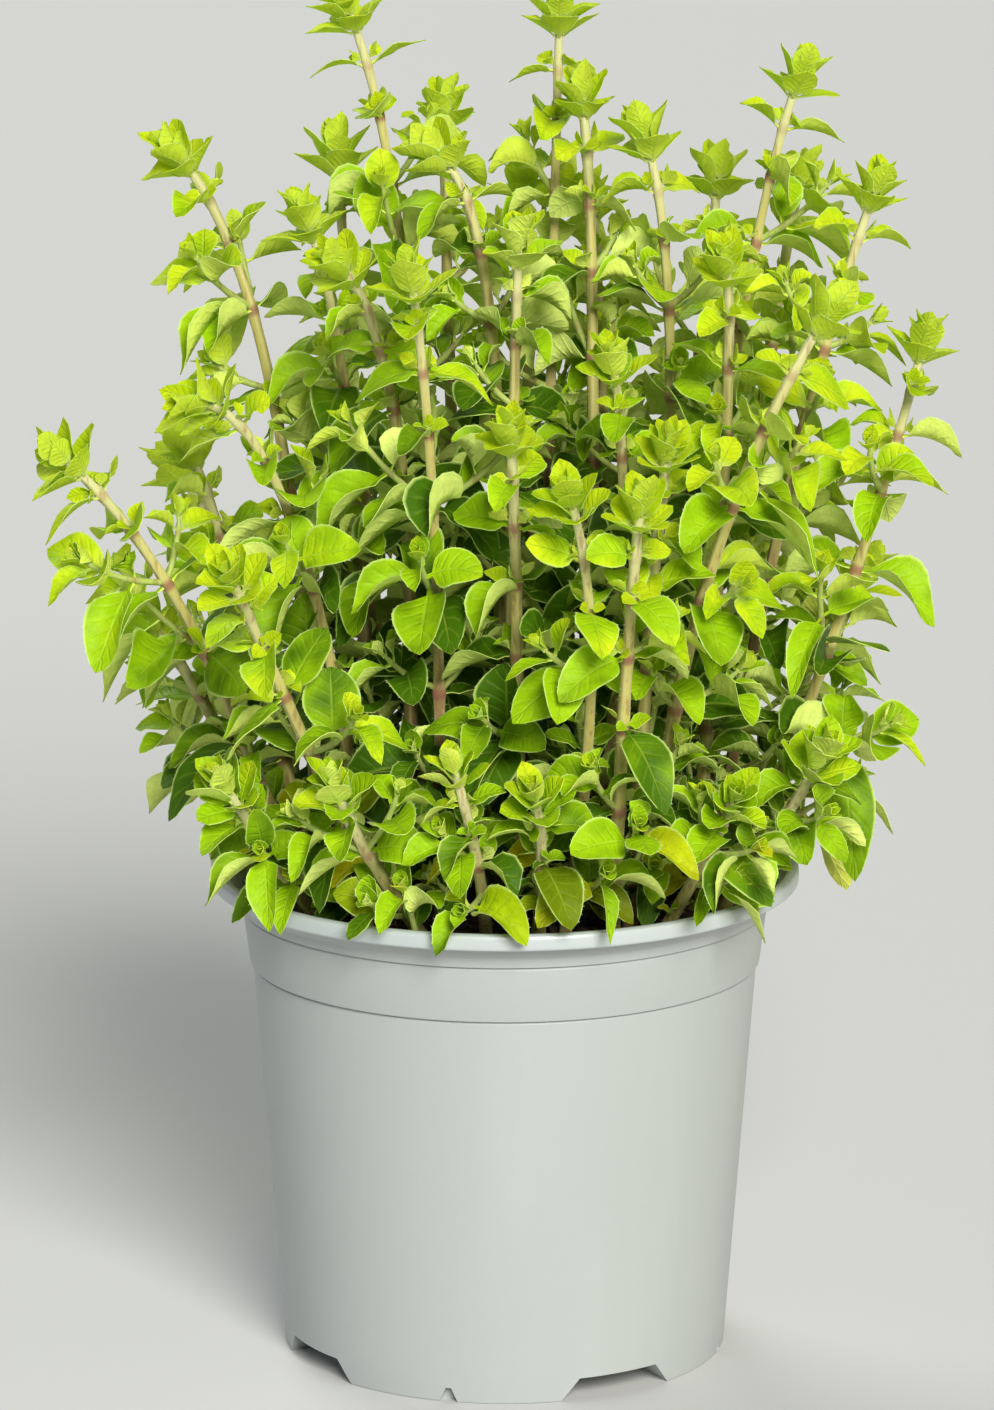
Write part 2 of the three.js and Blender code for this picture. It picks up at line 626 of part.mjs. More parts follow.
// The pot: its outside without its inside, cut away below the raised floor between the feet.
function buildPot() {
  const outside = spun([
    [0, 0], [BASE_RADIUS, 0],
    [SHOULDER.radius, SHOULDER.z], [SHOULDER.radius + SHOULDER.step, SHOULDER.z],
    [COLLAR.radius, COLLAR.z], [RIM.radius - RIM.chamfer, RIM.bottom],
    [RIM.radius, RIM.bottom + RIM.chamfer], [RIM.radius, RIM.top - RIM.chamfer],
    [RIM.radius - RIM.chamfer, RIM.top], [0, RIM.top],
  ]);
  const channel = channelSection(0);
  const nick = wedgeSection(NICK.bottomHalf, NICK.topHalf, NICK.height);
  const drain = wasm.Manifold.cylinder(FLOOR.top + 1, DRAIN.radius, DRAIN.radius, DRAIN.sides)
    .translate([DRAIN.ring, 0, 0]);
  const cuts = [
    spun(insideProfile(0)),
    spun([[0, -1], [FOOT.inner, -1], [FOOT.inner, FLOOR.under], [0, FLOOR.under]]),
    footHollows(0),
    ...quarterTurns(GAP_TURN).map((degrees) => spoke(channel, FOOT.inner / 2, degrees)),
    ...quarterTurns(FOOT_TURN).map((degrees) => spoke(nick, BASE_RADIUS - 2 * WALL, degrees)),
    ...quarterTurns(GAP_TURN).map((degrees) => drain.rotate([0, 0, degrees])),
  ];
  return cuts.reduce((pot, cut) => pot.subtract(cut), outside);
}

// The profile of the pot's inside, smaller by an inset.
function insideProfile(inset) {
  const flare = (RIM.bottom - COLLAR.z) / (RIM.radius - RIM.chamfer - COLLAR.radius);
  const neck = COLLAR.radius - WALL;
  const mouth = COLLAR.z + WALL + (RIM.inner - neck) * flare;
  return [
    [0, FLOOR.top + inset],
    [BASE_RADIUS - WALL - inset, FLOOR.top + inset],
    [SHOULDER.radius - WALL - inset, SHOULDER.z],
    [neck - inset, COLLAR.z + WALL / 2],
    [RIM.inner - inset, mouth],
    [RIM.inner - inset, RIM.top + 1],
    [0, RIM.top + 1],
  ];
}

// The potting mix: it fills the pot and its feet, with a plain hole for every stalk.
function buildSoil() {
  const top = wasm.Manifold.cylinder(SOIL_TOP, 2 * RIM.radius, 2 * RIM.radius);
  const fill = spun(insideProfile(SEAT)).add(footHollows(SEAT)).intersect(top);
  const half = STALK.footHalf + HOLE.slack;
  const side = 2 * half;
  const holes = SHOOTS.map((shoot) => wasm.Manifold.cube([side, side, HOLE.depth + 1], true)
    .rotate([0, 0, shoot.turn])
    .translate([...shoot.foot, SOIL_TOP - (HOLE.depth - 1) / 2]));
  return holes.reduce((soil, hole) => soil.subtract(hole), fill);
}

// A solid's triangles as flat faces.
function solidGeometry(solid) {
  const { vertProperties, triVerts, numProp } = solid.getMesh();
  const geometry = new THREE.BufferGeometry();
  const buffer = new THREE.InterleavedBuffer(vertProperties, numProp);
  const positions = new THREE.InterleavedBufferAttribute(buffer, 3, 0);
  geometry.setAttribute("position", positions);
  geometry.setIndex(new THREE.BufferAttribute(triVerts, 1));
  return faceted(geometry);
}

// ---- The part -------------------------------------------------------------------------------

function addNode(group, name, geometry, color, roughness) {
  const material = new THREE.MeshStandardMaterial({ color, roughness, metalness: 0 });
  const mesh = new THREE.Mesh(geometry, material);
  mesh.name = name;
  group.add(mesh);
}

const group = new THREE.Group();
addNode(group, "pot", solidGeometry(buildPot()), 0xb8bdbc, 0.45);
addNode(group, "potting_mix", solidGeometry(buildSoil()), 0x2b1d13, 0.95);
planPlant().forEach((plan) => {
  const number = String(plan.index + 1).padStart(2, "0");
  addNode(group, `shoot_${number}`, buildShoot(plan), 0x83ae2c, 0.6);
});

// The origin goes to the middle of the plant's footprint.
const box = new THREE.Box3().setFromObject(group);
const middle = box.getCenter(new THREE.Vector3());
for (const mesh of group.children) mesh.geometry.translate(-middle.x, -middle.y, 0);

export default group;
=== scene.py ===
"""A potted oregano plant: its grey nursery pot, its potting mix and its leafy shoots.

Blender works in metres in the frame of the solids. The plant is laid out in millimetres round
the pot's axis, by the same rule as the solids, and each class turns its own sizes into metres
where it makes a mesh.
"""

from __future__ import annotations

import logging
import math
from dataclasses import dataclass, field, replace
from enum import Enum
from functools import partial

import bmesh
import bpy
import numpy as np
from bmesh.types import BMesh
from bpy.types import Material, Mesh, Node, NodeSocket, Object
from mathutils import Matrix, Vector, noise
from mathutils.bvhtree import BVHTree


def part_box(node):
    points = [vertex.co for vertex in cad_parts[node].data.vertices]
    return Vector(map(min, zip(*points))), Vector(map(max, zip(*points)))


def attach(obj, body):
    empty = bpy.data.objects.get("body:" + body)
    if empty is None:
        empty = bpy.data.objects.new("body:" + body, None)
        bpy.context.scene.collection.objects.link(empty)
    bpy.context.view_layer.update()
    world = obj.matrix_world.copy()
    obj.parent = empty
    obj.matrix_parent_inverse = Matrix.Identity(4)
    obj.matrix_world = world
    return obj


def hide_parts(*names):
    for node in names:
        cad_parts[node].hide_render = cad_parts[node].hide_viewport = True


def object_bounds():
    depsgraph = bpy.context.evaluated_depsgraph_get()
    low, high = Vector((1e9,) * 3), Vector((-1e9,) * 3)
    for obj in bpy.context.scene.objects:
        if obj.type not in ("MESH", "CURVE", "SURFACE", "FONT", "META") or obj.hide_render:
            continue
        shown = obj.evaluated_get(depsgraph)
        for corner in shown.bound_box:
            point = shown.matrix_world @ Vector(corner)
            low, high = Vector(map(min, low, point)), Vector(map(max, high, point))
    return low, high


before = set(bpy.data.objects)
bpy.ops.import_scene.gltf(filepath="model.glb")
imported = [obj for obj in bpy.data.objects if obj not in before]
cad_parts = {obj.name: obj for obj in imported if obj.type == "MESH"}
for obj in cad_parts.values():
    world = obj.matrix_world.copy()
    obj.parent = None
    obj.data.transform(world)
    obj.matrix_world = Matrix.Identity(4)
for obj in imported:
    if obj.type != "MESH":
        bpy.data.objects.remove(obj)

Pair = tuple[float, float]
Triple = tuple[float, float, float]

CAD_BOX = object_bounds()
MM = 0.001
UP = np.array([0.0, 0.0, 1.0])
BODY = "root"

log = logging.getLogger("oregano")


# ---- Small sums ----


def pot_axis() -> np.ndarray:
    """The pot's axis on the ground, in millimetres."""
    low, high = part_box("pot")
    return np.array([(low.x + high.x) / 2, (low.y + high.y) / 2, 0.0]) / MM


AXIS = pot_axis()


def in_metres(points: np.ndarray) -> np.ndarray:
    """Places in metres of points in millimetres round the pot's axis."""
    return (points + AXIS) * MM


def mix(low: float, high: float, part: float) -> float:
    """A value part of the way from low to high."""
    return low + (high - low) * part


def unit(vectors: np.ndarray) -> np.ndarray:
    """Vectors scaled to length 1 along their last axis."""
    return vectors / np.linalg.norm(vectors, axis=-1, keepdims=True)


def run_along(points: np.ndarray) -> np.ndarray:
    """How far along their course each of a row of points is."""
    return np.concatenate(([0.0], np.cumsum(np.linalg.norm(np.diff(points, axis=0), axis=1))))


def draw(shoot: int, leaf: int, use: int) -> float:
    """A fixed draw between 0 and 1 for a shoot, a leaf on it and what the number is for."""
    x = math.sin(shoot * 12.9898 + leaf * 78.233 + use * 37.719) * 43758.5453
    return x - math.floor(x)


def sway(shoot: int, leaf: int, use: int) -> float:
    """The same draw as one between -0.5 and 0.5."""
    return draw(shoot, leaf, use) - 0.5


def heading(radians: float) -> np.ndarray:
    """The direction along the ground at an angle from +X."""
    return np.array([math.cos(radians), math.sin(radians), 0.0])


def turned_about(vector: np.ndarray, axis: np.ndarray, degrees: float) -> np.ndarray:
    """A vector turned round an axis of length 1."""
    angle, along = math.radians(degrees), axis * float(vector @ axis)
    return along + (vector - along) * math.cos(angle) + np.cross(axis, vector) * math.sin(angle)


# ---- Materials ----


class Sock:
    """A number that a material works out, with Python's operators for its Math nodes."""

    def __init__(self, nodes: Nodes, socket: NodeSocket) -> None:
        """Keeps the socket that gives the number."""
        self.nodes = nodes
        self.socket = socket

    def math(self, operation: str, *values: Sock | float, clamp: bool = False) -> Sock:
        """Adds one Math node.

        Args:
            operation: Blender's name of the operation.
            values: The node's inputs in order.
            clamp: Whether the result is kept between 0 and 1.

        Returns:
            The node's result.
        """
        settings = {"operation": operation, "use_clamp": clamp}
        return self.nodes.value("ShaderNodeMath", settings, dict(enumerate(values)))

    def __add__(self, other: Sock | float) -> Sock:
        """Sum."""
        return self.math("ADD", self, other)

    __radd__ = __add__

    def __sub__(self, other: Sock | float) -> Sock:
        """Difference."""
        return self.math("SUBTRACT", self, other)

    def __rsub__(self, other: float) -> Sock:
        """Difference from a plain number."""
        return self.math("SUBTRACT", other, self)

    def __mul__(self, other: Sock | float) -> Sock:
        """Product."""
        return self.math("MULTIPLY", self, other)

    __rmul__ = __mul__

    def __abs__(self) -> Sock:
        """Size without sign."""
        return self.math("ABSOLUTE", self)

    def fraction(self) -> Sock:
        """What is left above the whole number below."""
        return self.math("FRACT", self)

    def step(self, low: float, high: float) -> Sock:
        """A smooth rise from 0 at low to 1 at high.

        Args:
            low: Where the rise starts; above high, it falls instead.
            high: Where it ends.

        Returns:
            The smoothed share.
        """
        settings = {"interpolation_type": "SMOOTHSTEP"}
        sockets = {"Value": self, "From Min": low, "From Max": high}
        if low > high:
            sockets = {"Value": self, "From Min": high, "From Max": low, "To Min": 1.0, "To Max": 0.0}
        return self.nodes.value("ShaderNodeMapRange", settings, sockets)


class Nodes:
    """The nodes of one material, added one by one."""

    EVEN = (1.0, 1.0, 1.0)

    def __init__(self, name: str) -> None:
        """Starts an empty material.

        Args:
            name: The material's name.
        """
        self.material = bpy.data.materials.new(name)
        self.material.use_nodes = True
        self.tree = self.material.node_tree
        self.tree.nodes.clear()

    def node(self, kind: str, settings: dict | None = None, sockets: dict | None = None) -> Node:
        """Adds a node.

        Args:
            kind: Blender's name of the node's type.
            settings: The node's own settings, and for a ramp its stops.
            sockets: The values or links of its inputs, by name or by place.

        Returns:
            The node.
        """
        made = self.tree.nodes.new(kind)
        for key, value in (settings or {}).items():
            if key == "stops":
                self._set_stops(made.color_ramp, value)
            else:
                setattr(made, key, value)
        for key, value in (sockets or {}).items():
            source = value.socket if isinstance(value, Sock) else value
            if isinstance(source, NodeSocket):
                self.tree.links.new(source, made.inputs[key])
            else:
                made.inputs[key].default_value = source
        return made

    @staticmethod
    def _set_stops(ramp: bpy.types.ColorRamp, stops: list[tuple[float, Triple]]) -> None:
        """Gives a ramp its stops.

        Args:
            ramp: The ramp.
            stops: The place and the colour of each stop.
        """
        while len(ramp.elements) < len(stops):
            ramp.elements.new(1.0)
        for element, (place, colour) in zip(ramp.elements, stops):
            element.position = place
            element.color = (*colour, 1.0)

    def value(self, kind: str, settings: dict | None = None, sockets: dict | None = None) -> Sock:
        """Adds a node and gives its first result as a number."""
        return Sock(self, self.node(kind, settings, sockets).outputs[0])

    def attribute(self, name: str) -> tuple[Sock, Sock, Sock]:
        """Reads a piece's own attribute of three numbers.

        Args:
            name: The attribute's name.

        Returns:
            Its three numbers.
        """
        read = self.node("ShaderNodeAttribute", {"attribute_name": name})
        parts = self.node("ShaderNodeSeparateXYZ", None, {0: read.outputs["Vector"]})
        return tuple(Sock(self, output) for output in parts.outputs)

    def places(self, scale: Triple = EVEN) -> NodeSocket:
        """Object coordinates.

        Args:
            scale: How far each axis is stretched.

        Returns:
            The socket of the places.
        """
        source = self.node("ShaderNodeTexCoord").outputs["Object"]
        sockets = {"Vector": source, "Scale": scale}
        return self.node("ShaderNodeMapping", None, sockets).outputs[0]

    def noise(self, per_metre: float, detail: float = 2.0, stretch: Triple = EVEN) -> Sock:
        """Cloudy noise round 0.5.

        Args:
            per_metre: How many clouds lie in a metre.
            detail: How many finer layers it has.
            stretch: A scale for each axis.

        Returns:
            The noise.
        """
        sockets = {"Vector": self.places(stretch), "Scale": per_metre, "Detail": detail}
        return self.value("ShaderNodeTexNoise", None, sockets)

    def blend(self, factor: Sock | float, low: object, high: object, mode: str = "MIX") -> NodeSocket:
        """Mixes two colours.

        Args:
            factor: How much of the second colour there is.
            low: The first colour, or the socket that gives it.
            high: The second colour.
            mode: Blender's name of the way they mix.

        Returns:
            The socket of the mixed colour.
        """
        settings = {"data_type": "RGBA", "blend_type": mode}
        colours = [(*c, 1.0) if isinstance(c, tuple) else c for c in (low, high)]
        made = self.node("ShaderNodeMix", settings, {0: factor, 6: colours[0], 7: colours[1]})
        return made.outputs[2]

    def bump(self, height: Sock, strength: float, distance: float) -> NodeSocket:
        """A normal that follows a height.

        Args:
            height: The height, where 1 stands out by the distance.
            strength: How much of it shows.
            distance: In metres.

        Returns:
            The socket of the normal.
        """
        sockets = {"Height": height, "Strength": strength, "Distance": distance}
        return self.node("ShaderNodeBump", None, sockets).outputs[0]

    def principled(self, sockets: dict) -> NodeSocket:
        """Adds a Principled BSDF and gives its shader."""
        return self.node("ShaderNodeBsdfPrincipled", None, sockets).outputs[0]

    def finish(self, shader: NodeSocket) -> Material:
        """Joins the shader to the material's output."""
        self.node("ShaderNodeOutputMaterial", None, {"Surface": shader})
        return self.material


@dataclass(frozen=True)
class PotPlastic:
    """Satin grey moulded plastic with a faint grain, a few rubbed marks and a brighter bluish rim, which
    is a painted highlight.
    """

    colour: Triple = (0.405, 0.430, 0.423)
    worn: Triple = (0.465, 0.49, 0.48)
    # The rim bead's brighter bluish colour is a painted highlight, the reflection of the surround.
    rim: Triple = (0.46, 0.505, 0.515)
    rim_z: float = 0.1045
    roughness: float = 0.42
    rim_roughness: float = 0.3
    grain_per_metre: float = 2600.0

    def make(self) -> Material:
        """Builds the material."""
        nodes = Nodes("grey_plastic")
        cloud = nodes.noise(14.0, 3.0)
        streak = nodes.noise(60.0, 3.0, (1.0, 1.0, 0.12))
        marks = (streak * 0.6 + cloud * 0.4).step(0.52, 0.72)
        grain = nodes.noise(self.grain_per_metre, 1.0)
        height = nodes.node("ShaderNodeSeparateXYZ", None, {0: nodes.places()}).outputs["Z"]
        # Above rim_z the bead is glossier, and its brighter bluish colour is a painted highlight.
        rim = Sock(nodes, height).step(self.rim_z - 0.0003, self.rim_z + 0.0003)
        smoother = self.rim_roughness - self.roughness
        colour = nodes.blend(marks * 0.3, self.colour, self.worn)
        # Painted highlight on the rim bead.
        colour = nodes.blend(rim, colour, self.rim)
        sockets = {
            "Base Color": colour,
            "Roughness": self.roughness + (cloud - 0.5) * 0.12 + rim * smoother,
            "Specular IOR Level": 0.5,
            "Normal": nodes.bump(grain * 0.8 + streak * 0.6, 0.12, 0.0003),
        }
        return nodes.finish(nodes.principled(sockets))


@dataclass(frozen=True)
class MixFinish:
    """Damp dark potting mix with lighter fibres."""

    dark: Triple = (0.018, 0.011, 0.007)
    brown: Triple = (0.075, 0.044, 0.024)
    fibre: Triple = (0.20, 0.135, 0.075)

    def make(self) -> Material:
        """Builds the material."""
        nodes = Nodes("potting_mix")
        clods = nodes.noise(420.0, 5.0)
        fibres = nodes.noise(900.0, 3.0, (1.0, 0.25, 1.0)).step(0.62, 0.72)
        colour = nodes.blend(clods.step(0.35, 0.7), self.dark, self.brown)
        colour = nodes.blend(fibres * 0.6, colour, self.fibre)
        sockets = {
            "Base Color": colour,
            "Roughness": 0.95 - clods * 0.15,
            "Normal": nodes.bump(clods + fibres * 0.3, 0.7, 0.0006),
        }
        return nodes.finish(nodes.principled(sockets))


@dataclass(frozen=True)
class StalkFinish:
    """A hairy square stalk: pale at its tip, tan along it, browner at its knots and foot, with a painted
    highlight along its corners.

    It reads the stalk's attributes: "stem" holds the distance below the tip as a share of 180 mm,
    how near a knot is, and a draw for the stalk, which is -1 on a sprig; "ridge_highlight" is 1 on
    the stalk's four corners, where a highlight is painted, and 0 between them.
    """

    # The tip's own pale colour; on the corners it also serves as a painted highlight.
    pale: Triple = (0.56, 0.55, 0.26)
    green: Triple = (0.38, 0.48, 0.09)
    tan: Triple = (0.53, 0.46, 0.13)
    olive: Triple = (0.35, 0.32, 0.065)
    brown: Triple = (0.28, 0.14, 0.065)
    knot: Triple = (0.27, 0.105, 0.06)

    def make(self) -> Material:
        """Builds the material."""
        nodes = Nodes("stalk_skin")
        down, knot, tone = nodes.attribute("stem")
        ridge_highlight = nodes.attribute("ridge_highlight")[0]
        streaks = nodes.noise(900.0, 3.0, (1.0, 1.0, 0.06))
        clouds = nodes.noise(70.0, 2.0)
        low = nodes.blend((tone + clouds - 0.5).step(0.35, 0.8), self.olive, self.brown)
        colour = nodes.blend(down.step(0.02, 0.22), self.pale, self.tan)
        colour = nodes.blend((down + (clouds - 0.5) * 0.4).step(0.25, 0.75), colour, low)
        colour = nodes.blend(tone.step(-0.2, -0.4), colour, self.green)
        # On the corners brown streaks fade and pale ones spread, a painted highlight along the edges;
        # elsewhere the streaks are the stalk's own colour.
        colour = nodes.blend(streaks.step(0.48, 0.34) * (0.75 - ridge_highlight * 0.6), colour, self.brown)
        colour = nodes.blend((streaks * 0.5 + ridge_highlight * 0.5).step(0.45, 0.85) * 0.6, colour, self.pale)
        reddened = knot.step(0.3, 1.0) * down.step(0.03, 0.16) * 0.85
        colour = nodes.blend(reddened, colour, self.knot)
        sockets = {
            "Base Color": colour,
            "Roughness": 0.5 + streaks * 0.25,
            "Normal": nodes.bump(streaks, 0.5, 0.0003),
            "Sheen Weight": 0.1,
            "Sheen Roughness": 0.5,
        }
        return nodes.finish(nodes.principled(sockets))


@dataclass(frozen=True)
class LeafFinish:
    """A living leaf: green above with sunk veins, pale and ribbed below, with a pale margin.

    It reads the attributes of a blade: "blade" holds the place across from -1 to 1, the share
    along it and 1 on the upper face; "tint" holds the leaf's age, its tone and how yellow it is.
    The age of low and inner leaves is raised partly as real ageing and partly as painted shade,
    which darkens them towards the aged colour.
    """

    young: Triple = (0.87, 0.95, 0.02)
    grown: Triple = (0.340, 0.57, 0.005)
    # The colour of aged leaves, which also serves as painted shade for low and inner leaves.
    old_and_shaded: Triple = (0.052, 0.135, 0.003)
    yellow: Triple = (0.85, 0.76, 0.010)
    under_young: Triple = (0.88, 0.99, 0.07)
    under_grown: Triple = (0.84, 0.98, 0.23)
    margin: Triple = (0.68, 0.86, 0.23)
    base: Triple = (0.84, 0.86, 0.42)
    vein: Triple = (0.58, 0.76, 0.08)
    through: Triple = (0.60, 0.78, 0.012)
    through_young: float = 0.50
    through_grown: float = 0.16
    vein_pairs: float = 6.5

    def make(self) -> Material:
        """Builds the material."""
        nodes = Nodes("leaf_skin")
        across, along, upper = nodes.attribute("blade")
        age, tone, yellow = nodes.attribute("tint")
        out = abs(across)
        veins = self._veins(out, along)
        clouds = nodes.noise(320.0, 4.0)
        grain = nodes.noise(1500.0, 2.0)
        # Age carries painted shade for low and inner leaves, so this blend paints them darker.
        ripe_and_shaded = age + (nodes.noise(120.0, 1.0) - 0.5) * 0.8
        top = nodes.blend(ripe_and_shaded.step(0.0, 0.62), self.young, self.grown)
        top = nodes.blend((ripe_and_shaded + (tone - 0.5) * 0.5).step(0.7, 1.25), top, self.old_and_shaded)
        top = nodes.blend(yellow, top, self.yellow)
        top = nodes.blend(veins * veins * 0.24, top, self.vein)
        under = nodes.blend(age.step(0.1, 0.8), self.under_young, self.under_grown)
        under = nodes.blend(yellow * 0.8, under, self.yellow)
        under = nodes.blend(veins * 0.35, under, self.margin)
        colour = nodes.blend(upper.step(0.3, 0.7), under, top)
        edge = out.step(0.88, 1.0) * along.step(0.08, 0.2)
        colour = nodes.blend(edge * 0.75, colour, self.margin)
        colour = nodes.blend(along.step(0.34, 0.04) * age.step(0.5, 0.1) * 0.6, colour, self.base)
        shade = 0.62 + clouds * 0.48 + grain * 0.26
        colour = nodes.blend(1.0, colour, self._grey(nodes, shade), "MULTIPLY")
        height = veins * (0.4 - upper) + grain * 0.35 + clouds * 0.7
        sockets = {
            "Base Color": colour,
            "Roughness": 0.62 - upper * 0.16 + (clouds - 0.5) * 0.2,
            "Normal": nodes.bump(height, 0.7, 0.0005),
            "Specular IOR Level": 0.13,
        }
        skin = nodes.principled(sockets)
        glow = nodes.node("ShaderNodeBsdfTranslucent", None, {"Color": (*self.through, 1.0)}).outputs[0]
        share = self.through_grown + age.step(0.5, 0.1) * (self.through_young - self.through_grown)
        mixed = nodes.node("ShaderNodeMixShader", None, {0: share, 1: skin, 2: glow})
        return nodes.finish(mixed.outputs[0])

    def _veins(self, out: Sock, along: Sock) -> Sock:
        """The midrib and the side veins that curve from it towards the tip.

        Args:
            out: Distance from the midrib, from 0 to 1 at the margin.
            along: Share of the leaf's length.

        Returns:
            1 on a vein and 0 between them.
        """
        midrib = (out + along * 0.05).step(0.13, 0.04)
        place = (along - out * 0.26 + out * out * 0.06) * self.vein_pairs
        side = abs(place.fraction() - 0.5).step(0.24, 0.0) * out.step(0.97, 0.6)
        return midrib.math("MAXIMUM", midrib, side * 0.65 * along.step(0.1, 0.2))

    @staticmethod
    def _grey(nodes: Nodes, shade: Sock) -> NodeSocket:
        """A grey of that brightness."""
        return nodes.node("ShaderNodeCombineXYZ", None, {0: shade, 1: shade, 2: shade}).outputs[0]


@dataclass(frozen=True)
class PlainFinish:
    """An even finish without a pattern."""

    name: str
    colour: Triple
    roughness: float

    def make(self) -> Material:
        """Builds the material."""
        nodes = Nodes(self.name)
        sockets = {"Base Color": (*self.colour, 1.0), "Roughness": self.roughness}
        return nodes.finish(nodes.principled(sockets))


# ---- How the plant is laid out ----


@dataclass(frozen=True)
class ShootPlan:
    """One shoot in millimetres: foot, knee, tip, turn of its top pair, pairs, pace and size."""

    foot: tuple[float, float]
    knee: Triple
    tip: Triple
    turn: float
    pairs: int
    pace: float
    size: float


SHOOT_SIZES = (
    ((-14, -16), (-13, -42, 209), (-20, -45, 247), 90, 7, 1, 1),
    ((13, -30), (23, -60, 173), (13, -72, 205), 8, 4, 1.3, 1),
    ((31, -18), (35, -63, 190), (68, -50, 240), 20, 6, 1.3, 1.05),
    ((45, 2), (59, -9, 200), (80, 0, 259), 12, 7, 1.05, 0.95),
    ((49, -8), (76, -15, 170), (90, -12, 228), 75, 6, 1, 0.9),
    ((36, 17), (51, 25, 245), (65, 28, 280), 5, 8, 1.1, 0.95),
    ((43, 23), (61, 39, 240), (66, 44, 255), 50, 6, 1.1, 0.9),
    ((8, 16), (11, 26, 265), (12, 28, 294), 0, 8, 1.15, 1),
    ((18, 4), (21, 9, 260), (16, 14, 277), 40, 7, 1.1, 0.9),
    ((25, 17), (21, 30, 242), (19, 34, 252), 70, 6, 1.1, 0.9),
    ((32, 0), (41, -2, 246), (29, 2, 270), 15, 7, 1.1, 1),
    ((28, 31), (49, 52, 245), (47, 58, 254), 30, 6, 1.15, 1),
    ((41, -9), (51, -19, 238), (46, -22, 246), 60, 6, 1.1, 0.95),
    ((0, -5), (2, -9, 228), (3, -10, 249), 25, 7, 1.05, 1),
    ((3, -20), (3, -48, 189), (1, -52, 215), 60, 6, 1, 0.9),
    ((-3, 7), (5, -1, 261), (-17, 4, 265), 35, 7, 1.15, 1),
    ((-14, 15), (-18, 22, 262), (-35, 22, 295), 10, 8, 1.15, 1),
    ((-22, -7), (-15, -22, 226), (-36, -28, 246), 45, 7, 1, 1),
    ((-30, 2), (-30, 4, 227), (-44, 4, 252), 80, 7, 1.1, 1),
    ((-26, 24), (-36, 31, 248), (-37, 34, 262), 20, 6, 1.15, 1),
    ((-41, 9), (-44, 11, 236), (-72, 8, 265), 65, 7, 1.1, 1),
    ((-29, -15), (-42, -27, 217), (-66, -36, 217), 15, 6, 1, 1.05),
    ((-41, -2), (-64, -5, 201), (-70, -4, 203), 70, 5, 1, 0.95),
    ((-44, -13), (-65, -29, 181), (-95, -34, 206), 30, 5, 1.05, 1.05),
    ((-25, -27), (-51, -59, 170), (-57, -72, 188), 40, 5, 1, 1),
    ((20, -9), (29, -27, 206), (22, -34, 227), 85, 6, 1.05, 0.95),
    ((27, -28), (31, -48, 187), (34, -54, 212), 55, 5, 1, 0.9),
    ((23, -38), (25, -66, 172), (28, -70, 203), 30, 5, 1, 0.95),
    ((4, 38), (6, 44, 229), (4, 50, 254), 75, 6, 1.1, 0.95),
    ((-8, 28), (-14, 35, 246), (-13, 38, 272), 50, 7, 1.15, 0.95),
    ((-4, -34), (-5, -67, 127), (-11, -68, 147), 0, 3, 0.8, 0.75),
    ((-40, -25), (-52, -42, 122), (-60, -46, 138), 35, 2, 0.95, 1.05),
    ((-17, -40), (-32, -60, 128), (-36, -64, 142), 80, 2, 0.9, 1),
    ((7, -43), (9, -58, 126), (6, -66, 140), 20, 2, 0.9, 0.95),
    ((34, -34), (46, -52, 128), (48, -62, 138), 65, 2, 0.9, 0.95),
    ((46, -18), (62, -28, 126), (68, -34, 142), 10, 2, 0.9, 1.1),
    ((-49, 4), (-62, 0, 145), (-78, -6, 164), 50, 3, 0.95, 1),
    ((48, 10), (66, 16, 150), (80, 18, 172), 70, 3, 0.95, 1),
    ((-24, 40), (-32, 62, 190), (-36, 72, 212), 20, 5, 1, 1),
    ((16, 45), (20, 68, 180), (24, 78, 200), 60, 4, 1, 1),
    ((33, 37), (52, 66, 150), (62, 72, 172), 30, 3, 1, 1),
    ((-42, 26), (-60, 38, 170), (-74, 44, 190), 75, 4, 1, 1),
)
SHOOTS = tuple(ShootPlan(*sizes) for sizes in SHOOT_SIZES)


@dataclass
class Knot:
    """A place of a stalk that leaves grow from."""

    middle: np.ndarray
    along: np.ndarray
    first: np.ndarray
    second: np.ndarray
    below: float
    half: float
    faces: tuple[int, ...] = ()

    def direction(self, face: int) -> np.ndarray:
        """The outward direction of one of the stalk's four faces."""
        side = self.second if face % 2 else self.first
        return side if face < 2 else -side


